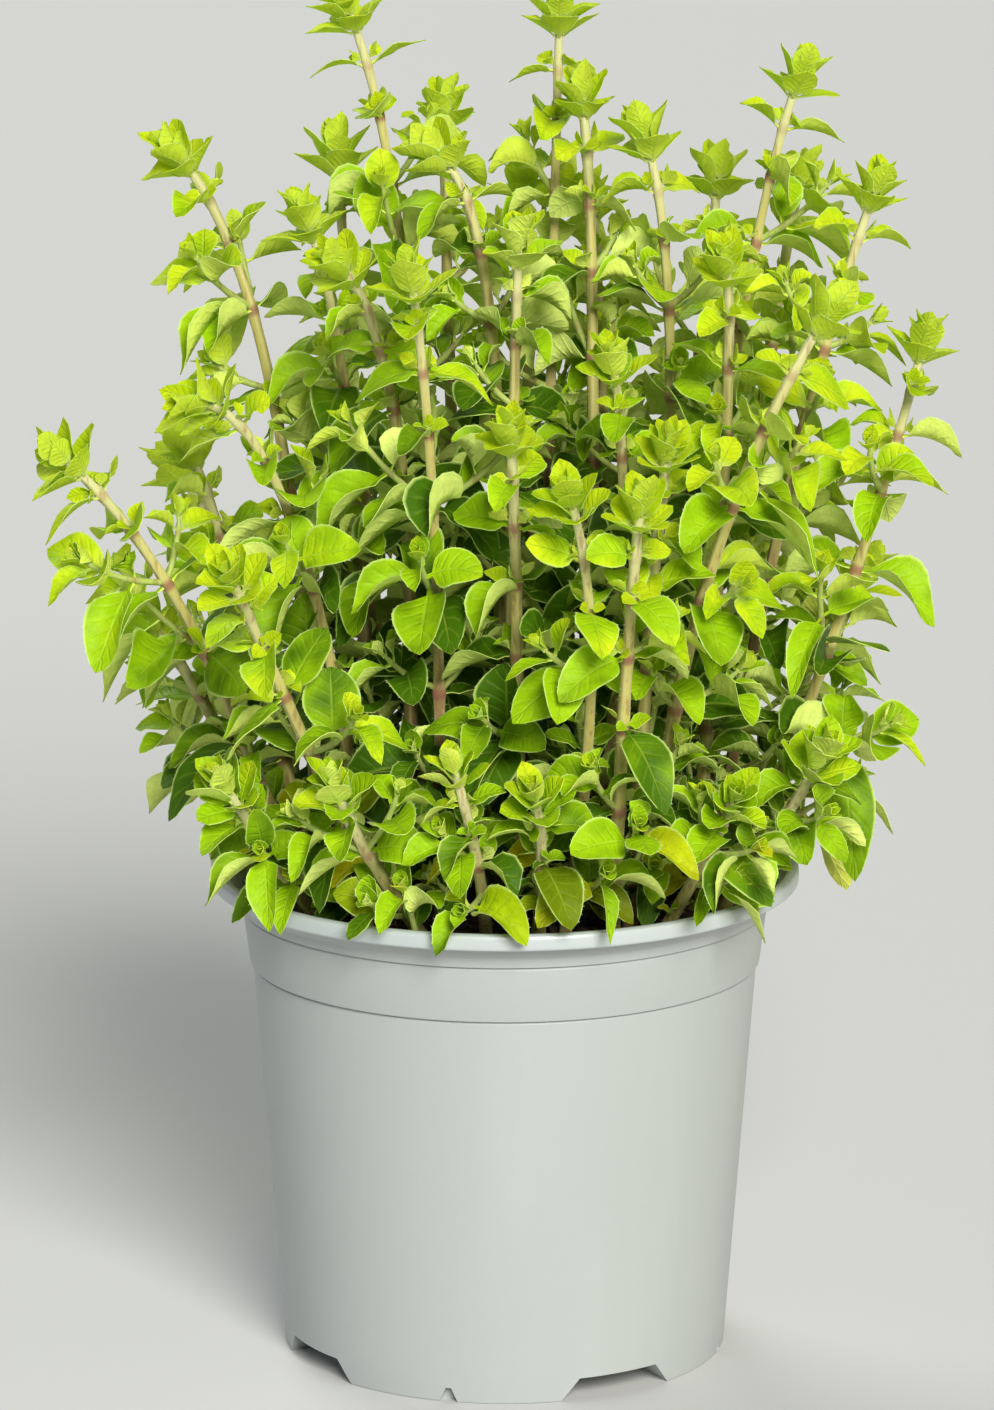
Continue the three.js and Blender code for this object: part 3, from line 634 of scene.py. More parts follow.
class StalkLine:
    """The curve of a stalk, known by distances below its tip."""

    STEPS = 40

    def __init__(self, foot: tuple, knee: tuple, tip: tuple) -> None:
        """Walks the curve from its tip down.

        Args:
            foot: Where it leaves the mix or its parent.
            knee: The point that it bends towards.
            tip: Its end.
        """
        self.foot, self.knee, self.tip = (np.array(p, float) for p in (foot, knee, tip))
        self.shares = 1 - np.arange(self.STEPS + 1) / self.STEPS
        s = self.shares[:, None]
        self.points = (1 - s) ** 2 * self.foot + 2 * (1 - s) * s * self.knee + s**2 * self.tip
        self.below = run_along(self.points)
        self.length = float(self.below[-1])

    def place(self, below: float) -> tuple[np.ndarray, np.ndarray]:
        """Where a point below the tip is, and which way the stalk grows there.

        Args:
            below: Distance below the tip.

        Returns:
            The point and the direction.
        """
        after = min(int(np.searchsorted(self.below, below, side="right")), self.STEPS)
        part = (below - self.below[after - 1]) / (self.below[after] - self.below[after - 1])
        middle = mix(self.points[after - 1], self.points[after], part)
        share = mix(self.shares[after - 1], self.shares[after], part)
        along = (self.knee - self.foot) * (1 - share) + (self.tip - self.knee) * share
        return middle, unit(along)

    def stretches(self, step: float, most: int = 8) -> list[np.ndarray]:
        """Points along the stalk, in short stretches.

        Args:
            step: The distance between points.
            most: The most points of a stretch.

        Returns:
            The points of each stretch.
        """
        places = np.array([self.place(below)[0] for below in np.arange(0, self.length, step)])
        return [places[i : i + most] for i in range(0, len(places), most)]

    def knot(self, below: float, turn: float, half: float, faces: tuple[int, ...] = ()) -> Knot:
        """The knot at a distance below the tip.

        Args:
            below: Distance below the tip.
            turn: Direction of the first face, in degrees from +X.
            half: Half the stalk's width there.
            faces: The faces that leaves grow from.

        Returns:
            The knot.
        """
        middle, along = self.place(below)
        towards = heading(math.radians(turn))
        first = unit(towards - along * float(towards @ along))
        return Knot(middle, along, first, np.cross(along, first), below, half, faces)


@dataclass
class LeafForm:
    """How a leaf grows out of its knot: sizes in millimetres, turns in degrees."""

    length: float
    half: float
    rise: float
    swing: float = 0.0
    droop: float = 0.3
    roll: float = 0.0
    fold: float = 16.0
    turned: bool = False

    def bent(self, swing: float, lift: float, share: float) -> LeafForm:
        """The form swung, lifted and made smaller."""
        turns = {"swing": self.swing + swing, "rise": self.rise + lift}
        return replace(self, length=self.length * share, half=self.half * share, **turns)


@dataclass(frozen=True)
class Tier:
    """A ring of young leaves: how far below a tip it is, and its leaves' rise, size and faces."""

    below: float
    rise: float
    length: float
    half: float
    faces: tuple[int, ...]


@dataclass
class Leaf:
    """A leaf in its place, with what gives it its own look."""

    root: np.ndarray
    start: np.ndarray
    face: np.ndarray
    length: float
    half: float
    droop: float
    fold: float
    age: float = 0.5
    tone: float = 0.5
    yellow: float = 0.0
    curl: float = 0.2
    cup: float = 0.0
    twist: float = 0.0
    point: float = 0.36
    wave: float = 0.3
    phase: float = 0.0
    breadth: float = 1.06

    LOW_AT, HIGH_AT, HIGH_SHARE, NECK = 0.4, 0.74, 0.76, 0.16
    TO_LIGHT = {"up": 0.5, "out": 1.3}
    ACROSS = (-1, -0.5, 0, 0.5, 1)

    @classmethod
    def on(cls, knot: Knot, face: int, form: LeafForm) -> Leaf:
        """A leaf on one face of a knot.

        Args:
            knot: The knot.
            face: Which of the stalk's faces.
            form: How it grows.

        Returns:
            The leaf in its place.
        """
        out = knot.direction(face)
        level = turned_about(out, knot.along, form.swing)
        rise = math.radians(form.rise)
        start = level * math.cos(rise) + knot.along * math.sin(rise)
        upper = knot.along * math.cos(rise) - level * math.sin(rise)
        upper = upper + np.cross(knot.along, level) * form.roll
        if form.turned:
            outward = unit(np.array([knot.middle[0], knot.middle[1], 0.0]))
            upper = upper + outward * cls.TO_LIGHT["out"] + UP * cls.TO_LIGHT["up"]
        root = knot.middle + out * knot.half
        return cls(root, start, upper, form.length, form.half, form.droop, math.radians(form.fold))

    def midrib(self, shares: np.ndarray) -> tuple[np.ndarray, np.ndarray, np.ndarray]:
        """The midrib at shares of the leaf's length.

        Args:
            shares: The shares, from 0 at the root to 1 at the tip.

        Returns:
            Its points, the way the blade faces, and the way across it.
        """
        s = shares[:, None]
        run = self.length * s
        points = self.root + self.start * run - UP * (self.droop * run * s / 2)
        along = unit(self.start - UP * (self.droop * s))
        face = unit(self.face - along * (along @ self.face)[:, None])
        return points, face, np.cross(face, along)

    def outline(self, share: float) -> float:
        """Half the breadth of the plain blade.

        Args:
            share: The share of the leaf's length.

        Returns:
            Half the breadth there.
        """
        if share < self.LOW_AT:
            return mix(self.NECK, 1.0, share / self.LOW_AT) * self.half
        if share < self.HIGH_AT:
            part = (share - self.LOW_AT) / (self.HIGH_AT - self.LOW_AT)
            return mix(1.0, self.HIGH_SHARE, part) * self.half
        return self.HIGH_SHARE * self.half * (1 - share) / (1 - self.HIGH_AT)

    def samples(self, step: float, across: tuple[float, ...] = ACROSS) -> np.ndarray:
        """Points all over the blade.

        Args:
            step: The distance between rows.
            across: The places of each row's points.

        Returns:
            The points, row by row.
        """
        rows = math.ceil(self.length / step)
        shares = np.arange(1, rows + 1) / rows
        points, face, side = self.midrib(shares)
        half = np.array([self.outline(s) for s in shares])[:, None, None]
        c = np.array(across, float)[None, :, None]
        spread = side[:, None, :] * (c * half * math.cos(self.fold))
        lift = face[:, None, :] * (np.abs(c) * half * math.sin(self.fold))
        return (points[:, None, :] + spread + lift).reshape(-1, 3)


class Crowd:
    """Places that are taken up, each with the air round it, which new leaves stay clear of."""

    WIDEST_AIR = 2.4

    def __init__(self, room: int = 20_000) -> None:
        """Starts empty.

        Args:
            room: How many groups of points it has room for.
        """
        self.centres = np.empty((room, 3))
        self.reaches = np.empty(room)
        self.airs = np.empty(room)
        self.owners = np.empty(room, int)
        self.groups: list[np.ndarray] = []

    def add(self, points: np.ndarray, air: float, owner: int) -> None:
        """Takes up a group of points.

        Args:
            points: The points.
            air: What they keep clear round themselves.
            owner: The number of their shoot.
        """
        place = len(self.groups)
        centre = points.mean(axis=0)
        self.centres[place] = centre
        self.reaches[place] = np.linalg.norm(points - centre, axis=1).max()
        self.airs[place] = air
        self.owners[place] = owner
        self.groups.append(points)

    def drop_after(self, count: int) -> None:
        """Frees all groups past the first ones."""
        del self.groups[count:]

    def clear(self, samples: np.ndarray, air: float, owner: int, root: np.ndarray, own: float) -> bool:
        """Whether samples stay clear of all points but their own shoot's round their root.

        Args:
            samples: The points of the new leaf.
            air: What they keep clear.
            owner: The number of their shoot.
            root: Where the leaf grows from.
            own: How far round the root its own shoot doesn't count.

        Returns:
            Whether the place is free.
        """
        count = len(self.groups)
        centre = samples.mean(axis=0)
        reach = float(np.linalg.norm(samples - centre, axis=1).max())
        apart = np.linalg.norm(self.centres[:count] - centre, axis=1) - self.reaches[:count]
        near = np.nonzero(apart <= reach + air + self.WIDEST_AIR)[0]
        if not len(near):
            return True
        others = np.concatenate([self.groups[i] for i in near])
        sizes = [len(self.groups[i]) for i in near]
        limits = air + np.repeat(self.airs[near], sizes)
        mine = np.repeat(self.owners[near] == owner, sizes)
        mine[mine] = np.linalg.norm(others[mine] - root, axis=1) < own
        others, limits = others[~mine] - centre, limits[~mine]
        samples = samples - centre
        squares = (samples**2).sum(1)[:, None] + (others**2).sum(1) - 2 * samples @ others.T
        return bool((squares > limits**2).all())


@dataclass
class Shoot:
    """A stalk with its knots, in millimetres round the pot's axis."""

    line: StalkLine
    knots: list[Knot]
    owner: int
    foot_half: float
    tip_half: float
    turn: float = 0.0
    leaves: list[Leaf] = field(default_factory=list)

    def half(self, below: float) -> float:
        """Half the stalk's width at a distance below its tip."""
        return mix(self.tip_half, self.foot_half, min(1.0, below / self.line.length))


@dataclass(frozen=True)
class LeafLooks:
    """Gives each leaf a look of its own, by its place and by fixed draws.

    Leaves age low down and far inside the plant; this extra age is partly real ageing and partly
    painted shade, as it darkens their colour where the foliage is shaded. With age their blades
    curl and cup more and turn more towards the level, and low ones may be yellow.
    """

    age_spread: float = 0.25
    aged_below: float = 175
    aged_over: float = 60
    # Extra age for low leaves: partly real ageing, partly painted shade of the low foliage.
    low_age_and_shade: float = 0.6
    # Leaves inside this core get extra age: partly real ageing, partly painted shade of the inner foliage.
    core: Triple = (90, 78, 150)
    core_z: float = 150
    aged_within: float = 0.80
    inner_age_and_shade: float = 1.9
    supple: float = 0.2
    curls: Pair = (-1.0, 0.9)
    cups: Pair = (-0.1, 0.6)
    levelled: float = 1.25
    twists: Pair = (-0.8, 0.8)
    most_twist: float = 1.7
    young_twist: float = 0.15
    points: Pair = (0.24, 0.12)
    point_spread: float = 0.12
    waves: Pair = (0.1, 0.5)
    waved_length: float = 14
    yellow_below: float = 128
    least_yellow: float = 0.8
    yellowing: float = 4

    def dress(self, leaf: Leaf, shoot: Shoot, number: int, age: float) -> None:
        """Gives a leaf its look.

        Args:
            leaf: The leaf.
            shoot: The shoot whose draws it takes.
            number: The number of its draws.
            age: Its age, from 0 at the tip to 1.
        """
        take = partial(draw, shoot.owner, number)
        # Low leaves and those far inside the plant get extra age, which darkens their colour: partly real
        # ageing, partly painted shade.
        low = min(1.0, max(0.0, (self.aged_below - leaf.root[2]) / self.aged_over))
        depth_in_shade = self.aged_within - float(np.linalg.norm((leaf.root - UP * self.core_z) / self.core))
        leaf.age = age + (take(11) - 0.5) * self.age_spread + self.low_age_and_shade * low
        leaf.age += self.inner_age_and_shade * max(0.0, depth_in_shade)
        leaf.tone = take(12)
        leaf.curl = mix(*self.curls, take(13)) * min(1.0, self.supple + leaf.age)
        leaf.cup = mix(*self.cups, take(20)) * min(1.0, self.supple + leaf.age)
        face, side = (way[0] for way in leaf.midrib(np.array([0.5]))[1:])
        twist = self.levelled * math.atan2(side[2], face[2]) + mix(*self.twists, take(17))
        twist = max(-self.most_twist, min(self.most_twist, twist))
        leaf.twist = twist * min(1.0, self.young_twist + leaf.age)
        leaf.point = mix(*self.points, min(1.0, leaf.age)) + (take(18) - 0.5) * self.point_spread
        leaf.wave = mix(*self.waves, take(14)) * min(1.0, leaf.length / self.waved_length)
        leaf.phase = 2 * math.pi * take(15)
        if leaf.root[2] < self.yellow_below:
            leaf.yellow = max(0.0, take(16) - self.least_yellow) * self.yellowing


@dataclass
class Oregano:
    """The plant as the solids have it: its shoots, their tufts and their pairs of leaves."""

    soil_top: float = 100.5
    foot_rise: float = 0.8
    foot_half: float = 1.4
    tip_half: float = 0.85
    first_pair: float = 13
    pair_first: float = 10
    pair_growth: float = 3.5
    pair_last: float = 22
    least_foot: float = 5
    step: float = 1.35
    leaf_air: float = 1.15
    stalk_air: float = 2.35
    own_root: float = 4.2
    rim_air: float = 1.4
    rim_top: float = 108.5
    rim_radius: float = 64.5
    neck_radius: float = 57.5
    tuft_draws: int = 50
    tufts: tuple[Tier, ...] = (Tier(7.5, 34, 10.5, 3.3, (0, 1, 2, 3)), Tier(3.8, 58, 7.5, 2.5, (1, 3)))
    tuft_breadth: float = 1.3
    tuft_ages: Pair = (0.0, 0.12)
    oldest_tuft: float = 8
    grown_pair: int = 3
    old_pair: int = 4
    pair_ages: Pair = (0.3, 1.0)
    pair_lengths: Pair = (13.5, 20)
    pair_rises: Pair = (38, 4)
    droops: Pair = (0.3, 1.4)
    folds: Pair = (8, 34)
    slimness: float = 0.31
    looks: LeafLooks = LeafLooks()
    bends: tuple[Triple, ...] = (
        (0, 0, 1), (20, 0, 1), (-20, 0, 1), (0, 20, 1), (0, -22, 1),
        (32, 14, 0.92), (-32, 14, 0.92), (32, -16, 0.86), (-32, -16, 0.86),
        (0, 36, 0.8), (0, -36, 0.76), (16, 12, 0.62), (-16, -12, 0.62),
    )
    shoots: list[Shoot] = field(default_factory=list)
    crowd: Crowd = field(default_factory=Crowd)

    def lay_out(self) -> None:
        """Plans all shoots, then lets their leaves find their room, the top pairs first."""
        tiers = []
        for index, plan in enumerate(SHOOTS):
            shoot, tufts = self._plan_shoot(index, plan)
            self.shoots.append(shoot)
            tiers.append(tufts)
        for shoot in self.shoots:
            for part in shoot.line.stretches(self.step):
                self.crowd.add(part, self.stalk_air, shoot.owner)
        for shoot, tufts in zip(self.shoots, tiers):
            for knot, face, form in tufts:
                leaf = Leaf.on(knot, face, form)
                leaf.breadth = self.tuft_breadth
                age = mix(*self.tuft_ages, knot.below / self.oldest_tuft)
                self._settle(leaf, shoot, self.tuft_draws + len(shoot.leaves), age)
        most = max(len(shoot.knots) for shoot in self.shoots)
        for pair in range(most):
            for shoot in self.shoots:
                if pair < len(shoot.knots):
                    self._grow_pair(shoot, pair)

    def _plan_shoot(self, index: int, plan: ShootPlan) -> tuple[Shoot, list]:
        """Plans a shoot's stalk, its knots and the forms of its tuft.

        Args:
            index: The shoot's number, from 0.
            plan: Its sizes.

        Returns:
            The shoot, and the knot, the face and the form of each leaf of its tuft.
        """
        line = StalkLine((*plan.foot, self.soil_top + self.foot_rise), plan.knee, plan.tip)
        shoot = Shoot(line, [], index, self.foot_half, self.tip_half, plan.turn)
        below = self.first_pair * plan.pace
        for pair in range(plan.pairs):
            if below >= line.length - self.least_foot:
                break
            faces = (1, 3) if pair % 2 else (0, 2)
            shoot.knots.append(line.knot(below, plan.turn, shoot.half(below), faces))
            below += min(self.pair_last, self.pair_first + self.pair_growth * pair) * plan.pace
        tufts = []
        for order, tier in enumerate(self.tufts):
            below = tier.below * plan.size
            knot = line.knot(below, plan.turn, shoot.half(below), tier.faces)
            for face in tier.faces:
                leaf = self.tuft_draws + 4 * order + face
                form = LeafForm(
                    length=tier.length * plan.size * mix(0.85, 1.1, draw(index, leaf, 1)),
                    half=tier.half * plan.size,
                    rise=tier.rise + sway(index, leaf, 2) * 14,
                    droop=0.3 * draw(index, leaf, 4),
                )
                tufts.append((knot, face, form))
        return shoot, tufts

    def _pair_form(self, shoot: Shoot, pair: int, side: int) -> LeafForm:
        """The form that a leaf of a pair would have, before it is bent clear of others.

        Args:
            shoot: Its shoot.
            pair: The pair's number from the top.
            side: Which leaf of the pair.

        Returns:
            The form.
        """
        index, leaf = shoot.owner, 2 * pair + side
        age = min(1.0, pair / self.grown_pair)
        full = mix(*self.pair_lengths, age) * SHOOTS[index].size * mix(0.9, 1.08, draw(index, leaf, 1))
        droop = mix(*self.droops, draw(index, leaf, 4))
        return LeafForm(
            length=full / math.hypot(1, droop / 2),
            half=full * self.slimness,
            rise=mix(*self.pair_rises, age) + sway(index, leaf, 2) * 30,
            swing=sway(index, leaf, 3) * 24,
            droop=droop,
            roll=sway(index, leaf, 5) * 0.7,
            fold=mix(*self.folds, draw(index, leaf, 6)),
            turned=True,
        )

    def _grow_pair(self, shoot: Shoot, pair: int) -> None:
        """Grows both leaves of a pair, each bent clear of what is there, or left out.

        Args:
            shoot: Their shoot.
            pair: The pair's number from the top.
        """
        knot, age = shoot.knots[pair], mix(*self.pair_ages, min(1.0, pair / self.old_pair))
        for side, face in enumerate(knot.faces):
            form = self._pair_form(shoot, pair, side)
            for bend in self.bends:
                leaf = Leaf.on(knot, face, form.bent(*bend))
                samples, root = leaf.samples(self.step), leaf.root
                if self.clear_of_pot(samples, self.rim_air) and self.crowd.clear(
                    samples, self.leaf_air, shoot.owner, root, self.own_root
                ):
                    self._settle(leaf, shoot, 2 * pair + side, age)
                    break

    def _settle(self, leaf: Leaf, shoot: Shoot, number: int, age: float) -> None:
        """Takes up a leaf's place, dresses the leaf and adds it to its shoot.

        Args:
            leaf: The leaf.
            shoot: Its shoot.
            number: The number of its draws.
            age: Its age, from 0 at the tip to 1.
        """
        self.crowd.add(leaf.samples(self.step), self.leaf_air, shoot.owner)
        self.looks.dress(leaf, shoot, number, age)
        shoot.leaves.append(leaf)

    def clear_of_pot(self, points: np.ndarray, air: float) -> bool:
        """Whether points stay clear of the pot's rim and of the mix.

        Args:
            points: The points.
            air: How far they have to stay away.

        Returns:
            Whether all of them do.
        """
        radius = np.hypot(points[:, 0], points[:, 1])
        above = points[:, 2] > self.rim_top + air
        beyond = radius > self.rim_radius + air
        inside = (radius < self.neck_radius - air) & (points[:, 2] > self.soil_top + air)
        return bool((above | beyond | inside).all())

@dataclass(frozen=True)
class Room:
    """What a leaf asks of its place.

    Within "own" of its root the points of its own shoot don't count; without it, only the pot and
    the plant's box do. The leaf's rows before "first" aren't tested.
    """

    bends: tuple[Triple, ...]
    air: float = 0.5
    own: float | None = None
    first: int = 0


BUD_BENDS = ((0, 0, 1), (24, 0, 1), (-24, 0, 1), (0, 24, 1), (0, -22, 0.92))
AXIL_BENDS = (*BUD_BENDS, (22, 18, 0.8), (-22, 18, 0.8), (0, 0, 0.66), (0, 34, 0.62))


@dataclass
class SideGrowth:
    """Lays out what grows in the axils of the leaves: leafy sprigs, then tiny pairs of leaves."""

    plant: Oregano
    box_inset: float = 0.4
    leaf_air: float = 0.5
    stalk_air: float = 1.35
    sprig_air: float = 0.8
    sprig_room: float = 0.7
    stalk_step: float = 1.0
    step: float = 1.25
    across: tuple[float, ...] = (-1, -0.66, -0.33, 0, 0.33, 0.66, 1)
    rim_air: float = 0.9
    first_draw: int = 1000
    shortest: float = 10.0
    longest: float = 34.0
    bare: float = 36.0
    bare_above: float = 160.0
    sprig_foot_half: float = 0.68
    sprig_tip_half: float = 0.42
    sprig_crown: float = 0.6
    sprig_first: float = 4.0
    sprig_bare: float = 2.5
    sprig_gaps: Pair = (4.5, 8.5)
    sprig_lengths: Pair = (7.0, 18.5)
    sprig_rises: Pair = (52, 12)
    sprig_ages: Pair = (0.12, 0.8)
    shares: Pair = (1.0, 0.62)
    least_leaves: int = 3
    low_gap: float = 10.5
    skirt: int = 260
    skirt_draws: int = 9000
    skirt_feet: Pair = (40, 52)
    bud_draws: int = 500
    bud_lengths: Pair = (3.6, 8.0)
    bud_age: float = 0.15
    crown_draws: int = 700
    crown_neck: float = 0.6
    crown_ageing: float = 0.02
    crown: tuple[Tier, ...] = (
        Tier(5.8, 58, 12.0, 3.9, (0, 2)),
        Tier(2.8, 69, 9.8, 3.2, (1, 3)),
        Tier(1.2, 77, 7.2, 2.3, (0, 2)),
        Tier(0.3, 83, 5.0, 1.5, (1, 3)),
    )
    sprig_tiers: int = 3
    crown_room: Room = Room(((0, 0, 1), (0, -14, 0.88), (0, -28, 0.76), (0, -40, 0.6)))
    leaf_room: Room = Room(AXIL_BENDS, own=3.0)
    bud_room: Room = Room(BUD_BENDS, air=0.4, own=3.2, first=1)
    crowd: Crowd = field(default_factory=Crowd)
    sprigs: dict[int, list[Shoot]] = field(default_factory=dict)
    grown: set[tuple[int, int, int]] = field(default_factory=set)

    def __post_init__(self) -> None:
        """Finds the box that the growth stays in, just inside that of the solids."""
        low, high = (np.array(corner) / MM - AXIS for corner in CAD_BOX)
        self.low, self.high = low + self.box_inset, high - self.box_inset

    def lay_out(self) -> None:
        """Fills the room between the leaves of the solids, the larger sprigs first."""
        for shoot in self.plant.shoots:
            self.sprigs[shoot.owner] = []
            for part in shoot.line.stretches(self.stalk_step):
                self.crowd.add(part, self.stalk_air, shoot.owner)
            for leaf in shoot.leaves:
                self.crowd.add(leaf.samples(self.step, self.across), self.leaf_air, shoot.owner)
            size = SHOOTS[shoot.owner].size
            self._grow_crown(shoot, shoot.owner, size, self.crown_draws, len(self.crown))
        knots = {shoot.owner: shoot.knots + self._low_knots(shoot) for shoot in self.plant.shoots}
        most = max(len(own) for own in knots.values())
        for share in self.shares:
            for pair in range(most - 1, 0, -1):
                for shoot in self.plant.shoots:
                    if pair < len(knots[shoot.owner]):
                        self._grow_sprigs(shoot, knots[shoot.owner][pair], pair, share)
        self._grow_skirt()
        for shoot in self.plant.shoots:
            for pair, knot in enumerate(knots[shoot.owner]):
                self._grow_axils(shoot, knot, pair)

    def _grow_crown(self, shoot: Shoot, draws: int, scale: float, number: int, tiers: int) -> None:
        """Closes a tip with upright young leaves.

        Args:
            shoot: The shoot or sprig.
            draws: The number of the shoot whose draws it takes.
            scale: The size of the crown.
            number: Where its draws start.
            tiers: How many of the crown's upper tiers it has.
        """
        for order, tier in enumerate(self.crown[-tiers:]):
            below = tier.below * scale
            knot = shoot.line.knot(below, shoot.turn, shoot.half(below) * self.crown_neck, tier.faces)
            for face in tier.faces:
                leaf = number + 4 * order + face
                form = LeafForm(
                    length=tier.length * scale * mix(0.88, 1.1, draw(draws, leaf, 1)),
                    half=tier.half * scale,
                    rise=tier.rise + sway(draws, leaf, 2) * 14,
                    swing=sway(draws, leaf, 3) * 16,
                    droop=0.35 * draw(draws, leaf, 4),
                    fold=mix(14, 30, draw(draws, leaf, 6)),
                )
                look = (self.plant.shoots[draws], leaf, self.crown_ageing * tier.below)
                self._grow(shoot, knot, face, form, self.crown_room, look)

    def _low_knots(self, shoot: Shoot) -> list[Knot]:
        """The knots of a stalk below the pairs that the solids have.

        Args:
            shoot: The shoot.

        Returns:
            Its low knots, from the top.
        """
        knots = []
        places = np.arange(shoot.knots[-1].below + 11, shoot.line.length - 5, self.low_gap)
        for i, below in enumerate(places):
            faces = (0, 2) if i % 2 else (1, 3)
            knots.append(shoot.line.knot(float(below), shoot.turn, shoot.half(below), faces))
        return knots

    def _grow_sprigs(self, shoot: Shoot, knot: Knot, pair: int, share: float) -> None:
        """Grows a sprig in each axil of a knot that has none yet and has the room.

        Args:
            shoot: The shoot.
            knot: The knot.
            pair: The knot's number from the top.
            share: The share of its full length that a sprig is tried at.
        """
        bare = knot.below < self.bare and knot.middle[2] > self.bare_above
        lower = min(1.0, max(0.0, (knot.below - 20) / 70))
        for side, face in enumerate(knot.faces):
            if bare or (shoot.owner, pair, side) in self.grown:
                continue
            number = self.first_draw + 40 * pair + 20 * side
            full = mix(self.shortest, self.longest, draw(shoot.owner, number, 1))
            full = full * mix(0.55, 1.0, lower) * share
            if full < self.shortest * 0.6:
                continue
            sprig = self._sprig(shoot, knot, face, number, full)
            if sprig:
                self.grown.add((shoot.owner, pair, side))
                self.sprigs[shoot.owner].append(sprig)

    def _sprig(self, shoot: Shoot, knot: Knot, face: int, number: int, full: float) -> Shoot | None:
        """A sprig in one axil, if it has the room.

        Args:
            shoot: The shoot that it grows on.
            knot: The knot.
            face: The face of the stalk.
            number: Where its draws start.
            full: Its length.

        Returns:
            The sprig, or None.
        """
        owner = shoot.owner
        out = turned_about(knot.direction(face), knot.along, sway(owner, number, 2) * 50)
        rise = math.radians(mix(28, 62, draw(owner, number, 3)))
        low, high = (out * math.cos(turn) + knot.along * math.sin(turn) for turn in (rise - 0.2, rise))
        foot = knot.middle + knot.direction(face) * (knot.half - 0.3) + knot.along * 1.1
        knee = foot + low * full * 0.5
        tip = foot + high * full * 0.94 + UP * full * 0.08
        return self._leafy(shoot, (foot, knee, tip), out, number)

    def _grow_skirt(self) -> None:
        """Grows short shoots out of the mix, close to the rim, with leaves that hang over it."""
        feet = np.array([shoot.line.foot for shoot in self.plant.shoots])
        for number in range(self.skirt):
            take = partial(draw, self.skirt_draws + number, 0)
            out = heading(2 * math.pi * (number / self.skirt * 2 + take(1) / 20))
            foot = out * mix(*self.skirt_feet, take(2)) + UP * (self.plant.soil_top - 2)
            knee = foot + out * 1.5 + UP * mix(7, 11, take(3))
            tip = foot + out * mix(2, 12, take(4)) + UP * mix(13, 30, take(5))
            nearest = int(np.argmin(np.linalg.norm(feet - foot, axis=1)))
            shoot = self.plant.shoots[nearest]
            sprig = self._leafy(shoot, (foot, knee, tip), out, self.skirt_draws + 40 * number)
            if sprig:
                self.sprigs[nearest].append(sprig)

    def _leafy(self, shoot: Shoot, course: tuple, out: np.ndarray, number: int) -> Shoot | None:
        """A sprig along a course, if there is room for its stalk and for enough of its leaves.

        Args:
            shoot: The shoot that it belongs to.
            course: Its foot, its knee and its tip.
            out: The way that it leans.
            number: Where its draws start.

        Returns:
            The sprig, or None.
        """
        owner, foot = shoot.owner, course[0]
        line = StalkLine(*course)
        parts = line.stretches(self.stalk_step)
        middles = np.concatenate(parts)
        beyond = middles[np.linalg.norm(middles - foot, axis=1) > 4]
        if len(beyond) < 3 or not self._free(beyond, self.sprig_room, owner, foot, 5.0):
            return None
        sprig = Shoot(line, [], 1000 + number + 2000 * owner, self.sprig_foot_half, self.sprig_tip_half)
        sprig.turn = math.degrees(math.atan2(out[1], out[0])) + 90
        before = len(self.crowd.groups)
        for part in parts:
            self.crowd.add(part, self.sprig_air, sprig.owner)
        self._leaf_sprig(sprig, shoot, number)
        if len(sprig.leaves) < self.least_leaves:
            self.crowd.drop_after(before)
            return None
        self._grow_crown(sprig, owner, self.sprig_crown, self.crown_draws + number, self.sprig_tiers)
        return sprig

    def _leaf_sprig(self, sprig: Shoot, shoot: Shoot, number: int) -> None:
        """Grows a sprig's pairs of leaves, smaller and more upright close to its tip.

        Args:
            sprig: The sprig.
            shoot: The shoot that it grows on.
            number: Where its draws start.
        """
        below, pair = self.sprig_first, 0
        while below < sprig.line.length - self.sprig_bare:
            faces = (0, 2) if pair % 2 else (1, 3)
            knot = sprig.line.knot(below, sprig.turn, sprig.half(below), faces)
            sprig.knots.append(knot)
            for side, face in enumerate(faces):
                leaf = number + 2 * pair + side + 1
                take, about = partial(draw, shoot.owner, leaf), partial(sway, shoot.owner, leaf)
                size = mix(*self.sprig_lengths, min(1.0, below / 12)) * mix(0.88, 1.12, take(4))
                form = LeafForm(
                    length=size,
                    half=size * mix(0.30, 0.35, take(5)),
                    rise=mix(*self.sprig_rises, min(1.0, below / 14)) + about(6) * 30,
                    swing=about(7) * 30,
                    droop=mix(0.2, 1.2, take(8)),
                    roll=about(9) * 0.9,
                    fold=mix(8, 48, take(10)),
                    turned=below > 5,
                )
                look = (shoot, leaf, mix(*self.sprig_ages, min(1.0, below / 24)))
                self._grow(sprig, knot, face, form, self.leaf_room, look)
            below += mix(*self.sprig_gaps, min(1.0, pair / 3))
            pair += 1

    def _grow(
        self, shoot: Shoot, knot: Knot, face: int, form: LeafForm, room: Room, look: tuple
    ) -> None:
        """Grows one leaf where it has room, or leaves it out.

        Args:
            shoot: The shoot or sprig that it grows on.
            knot: Its knot.
            face: The face of the knot.
            form: Its form before it is bent.
            room: What it asks of its place.
            look: The shoot whose draws it takes, the number of its draws, and its age.
        """
        for bend in room.bends:
            leaf = Leaf.on(knot, face, form.bent(*bend))
            samples = leaf.samples(self.step, self.across)
            tested = samples[room.first * len(self.across) :]
            if self._free(tested, room.air, shoot.owner, leaf.root, room.own):
                self.crowd.add(samples, room.air, shoot.owner)
                self.plant.looks.dress(leaf, *look)
                shoot.leaves.append(leaf)
                return

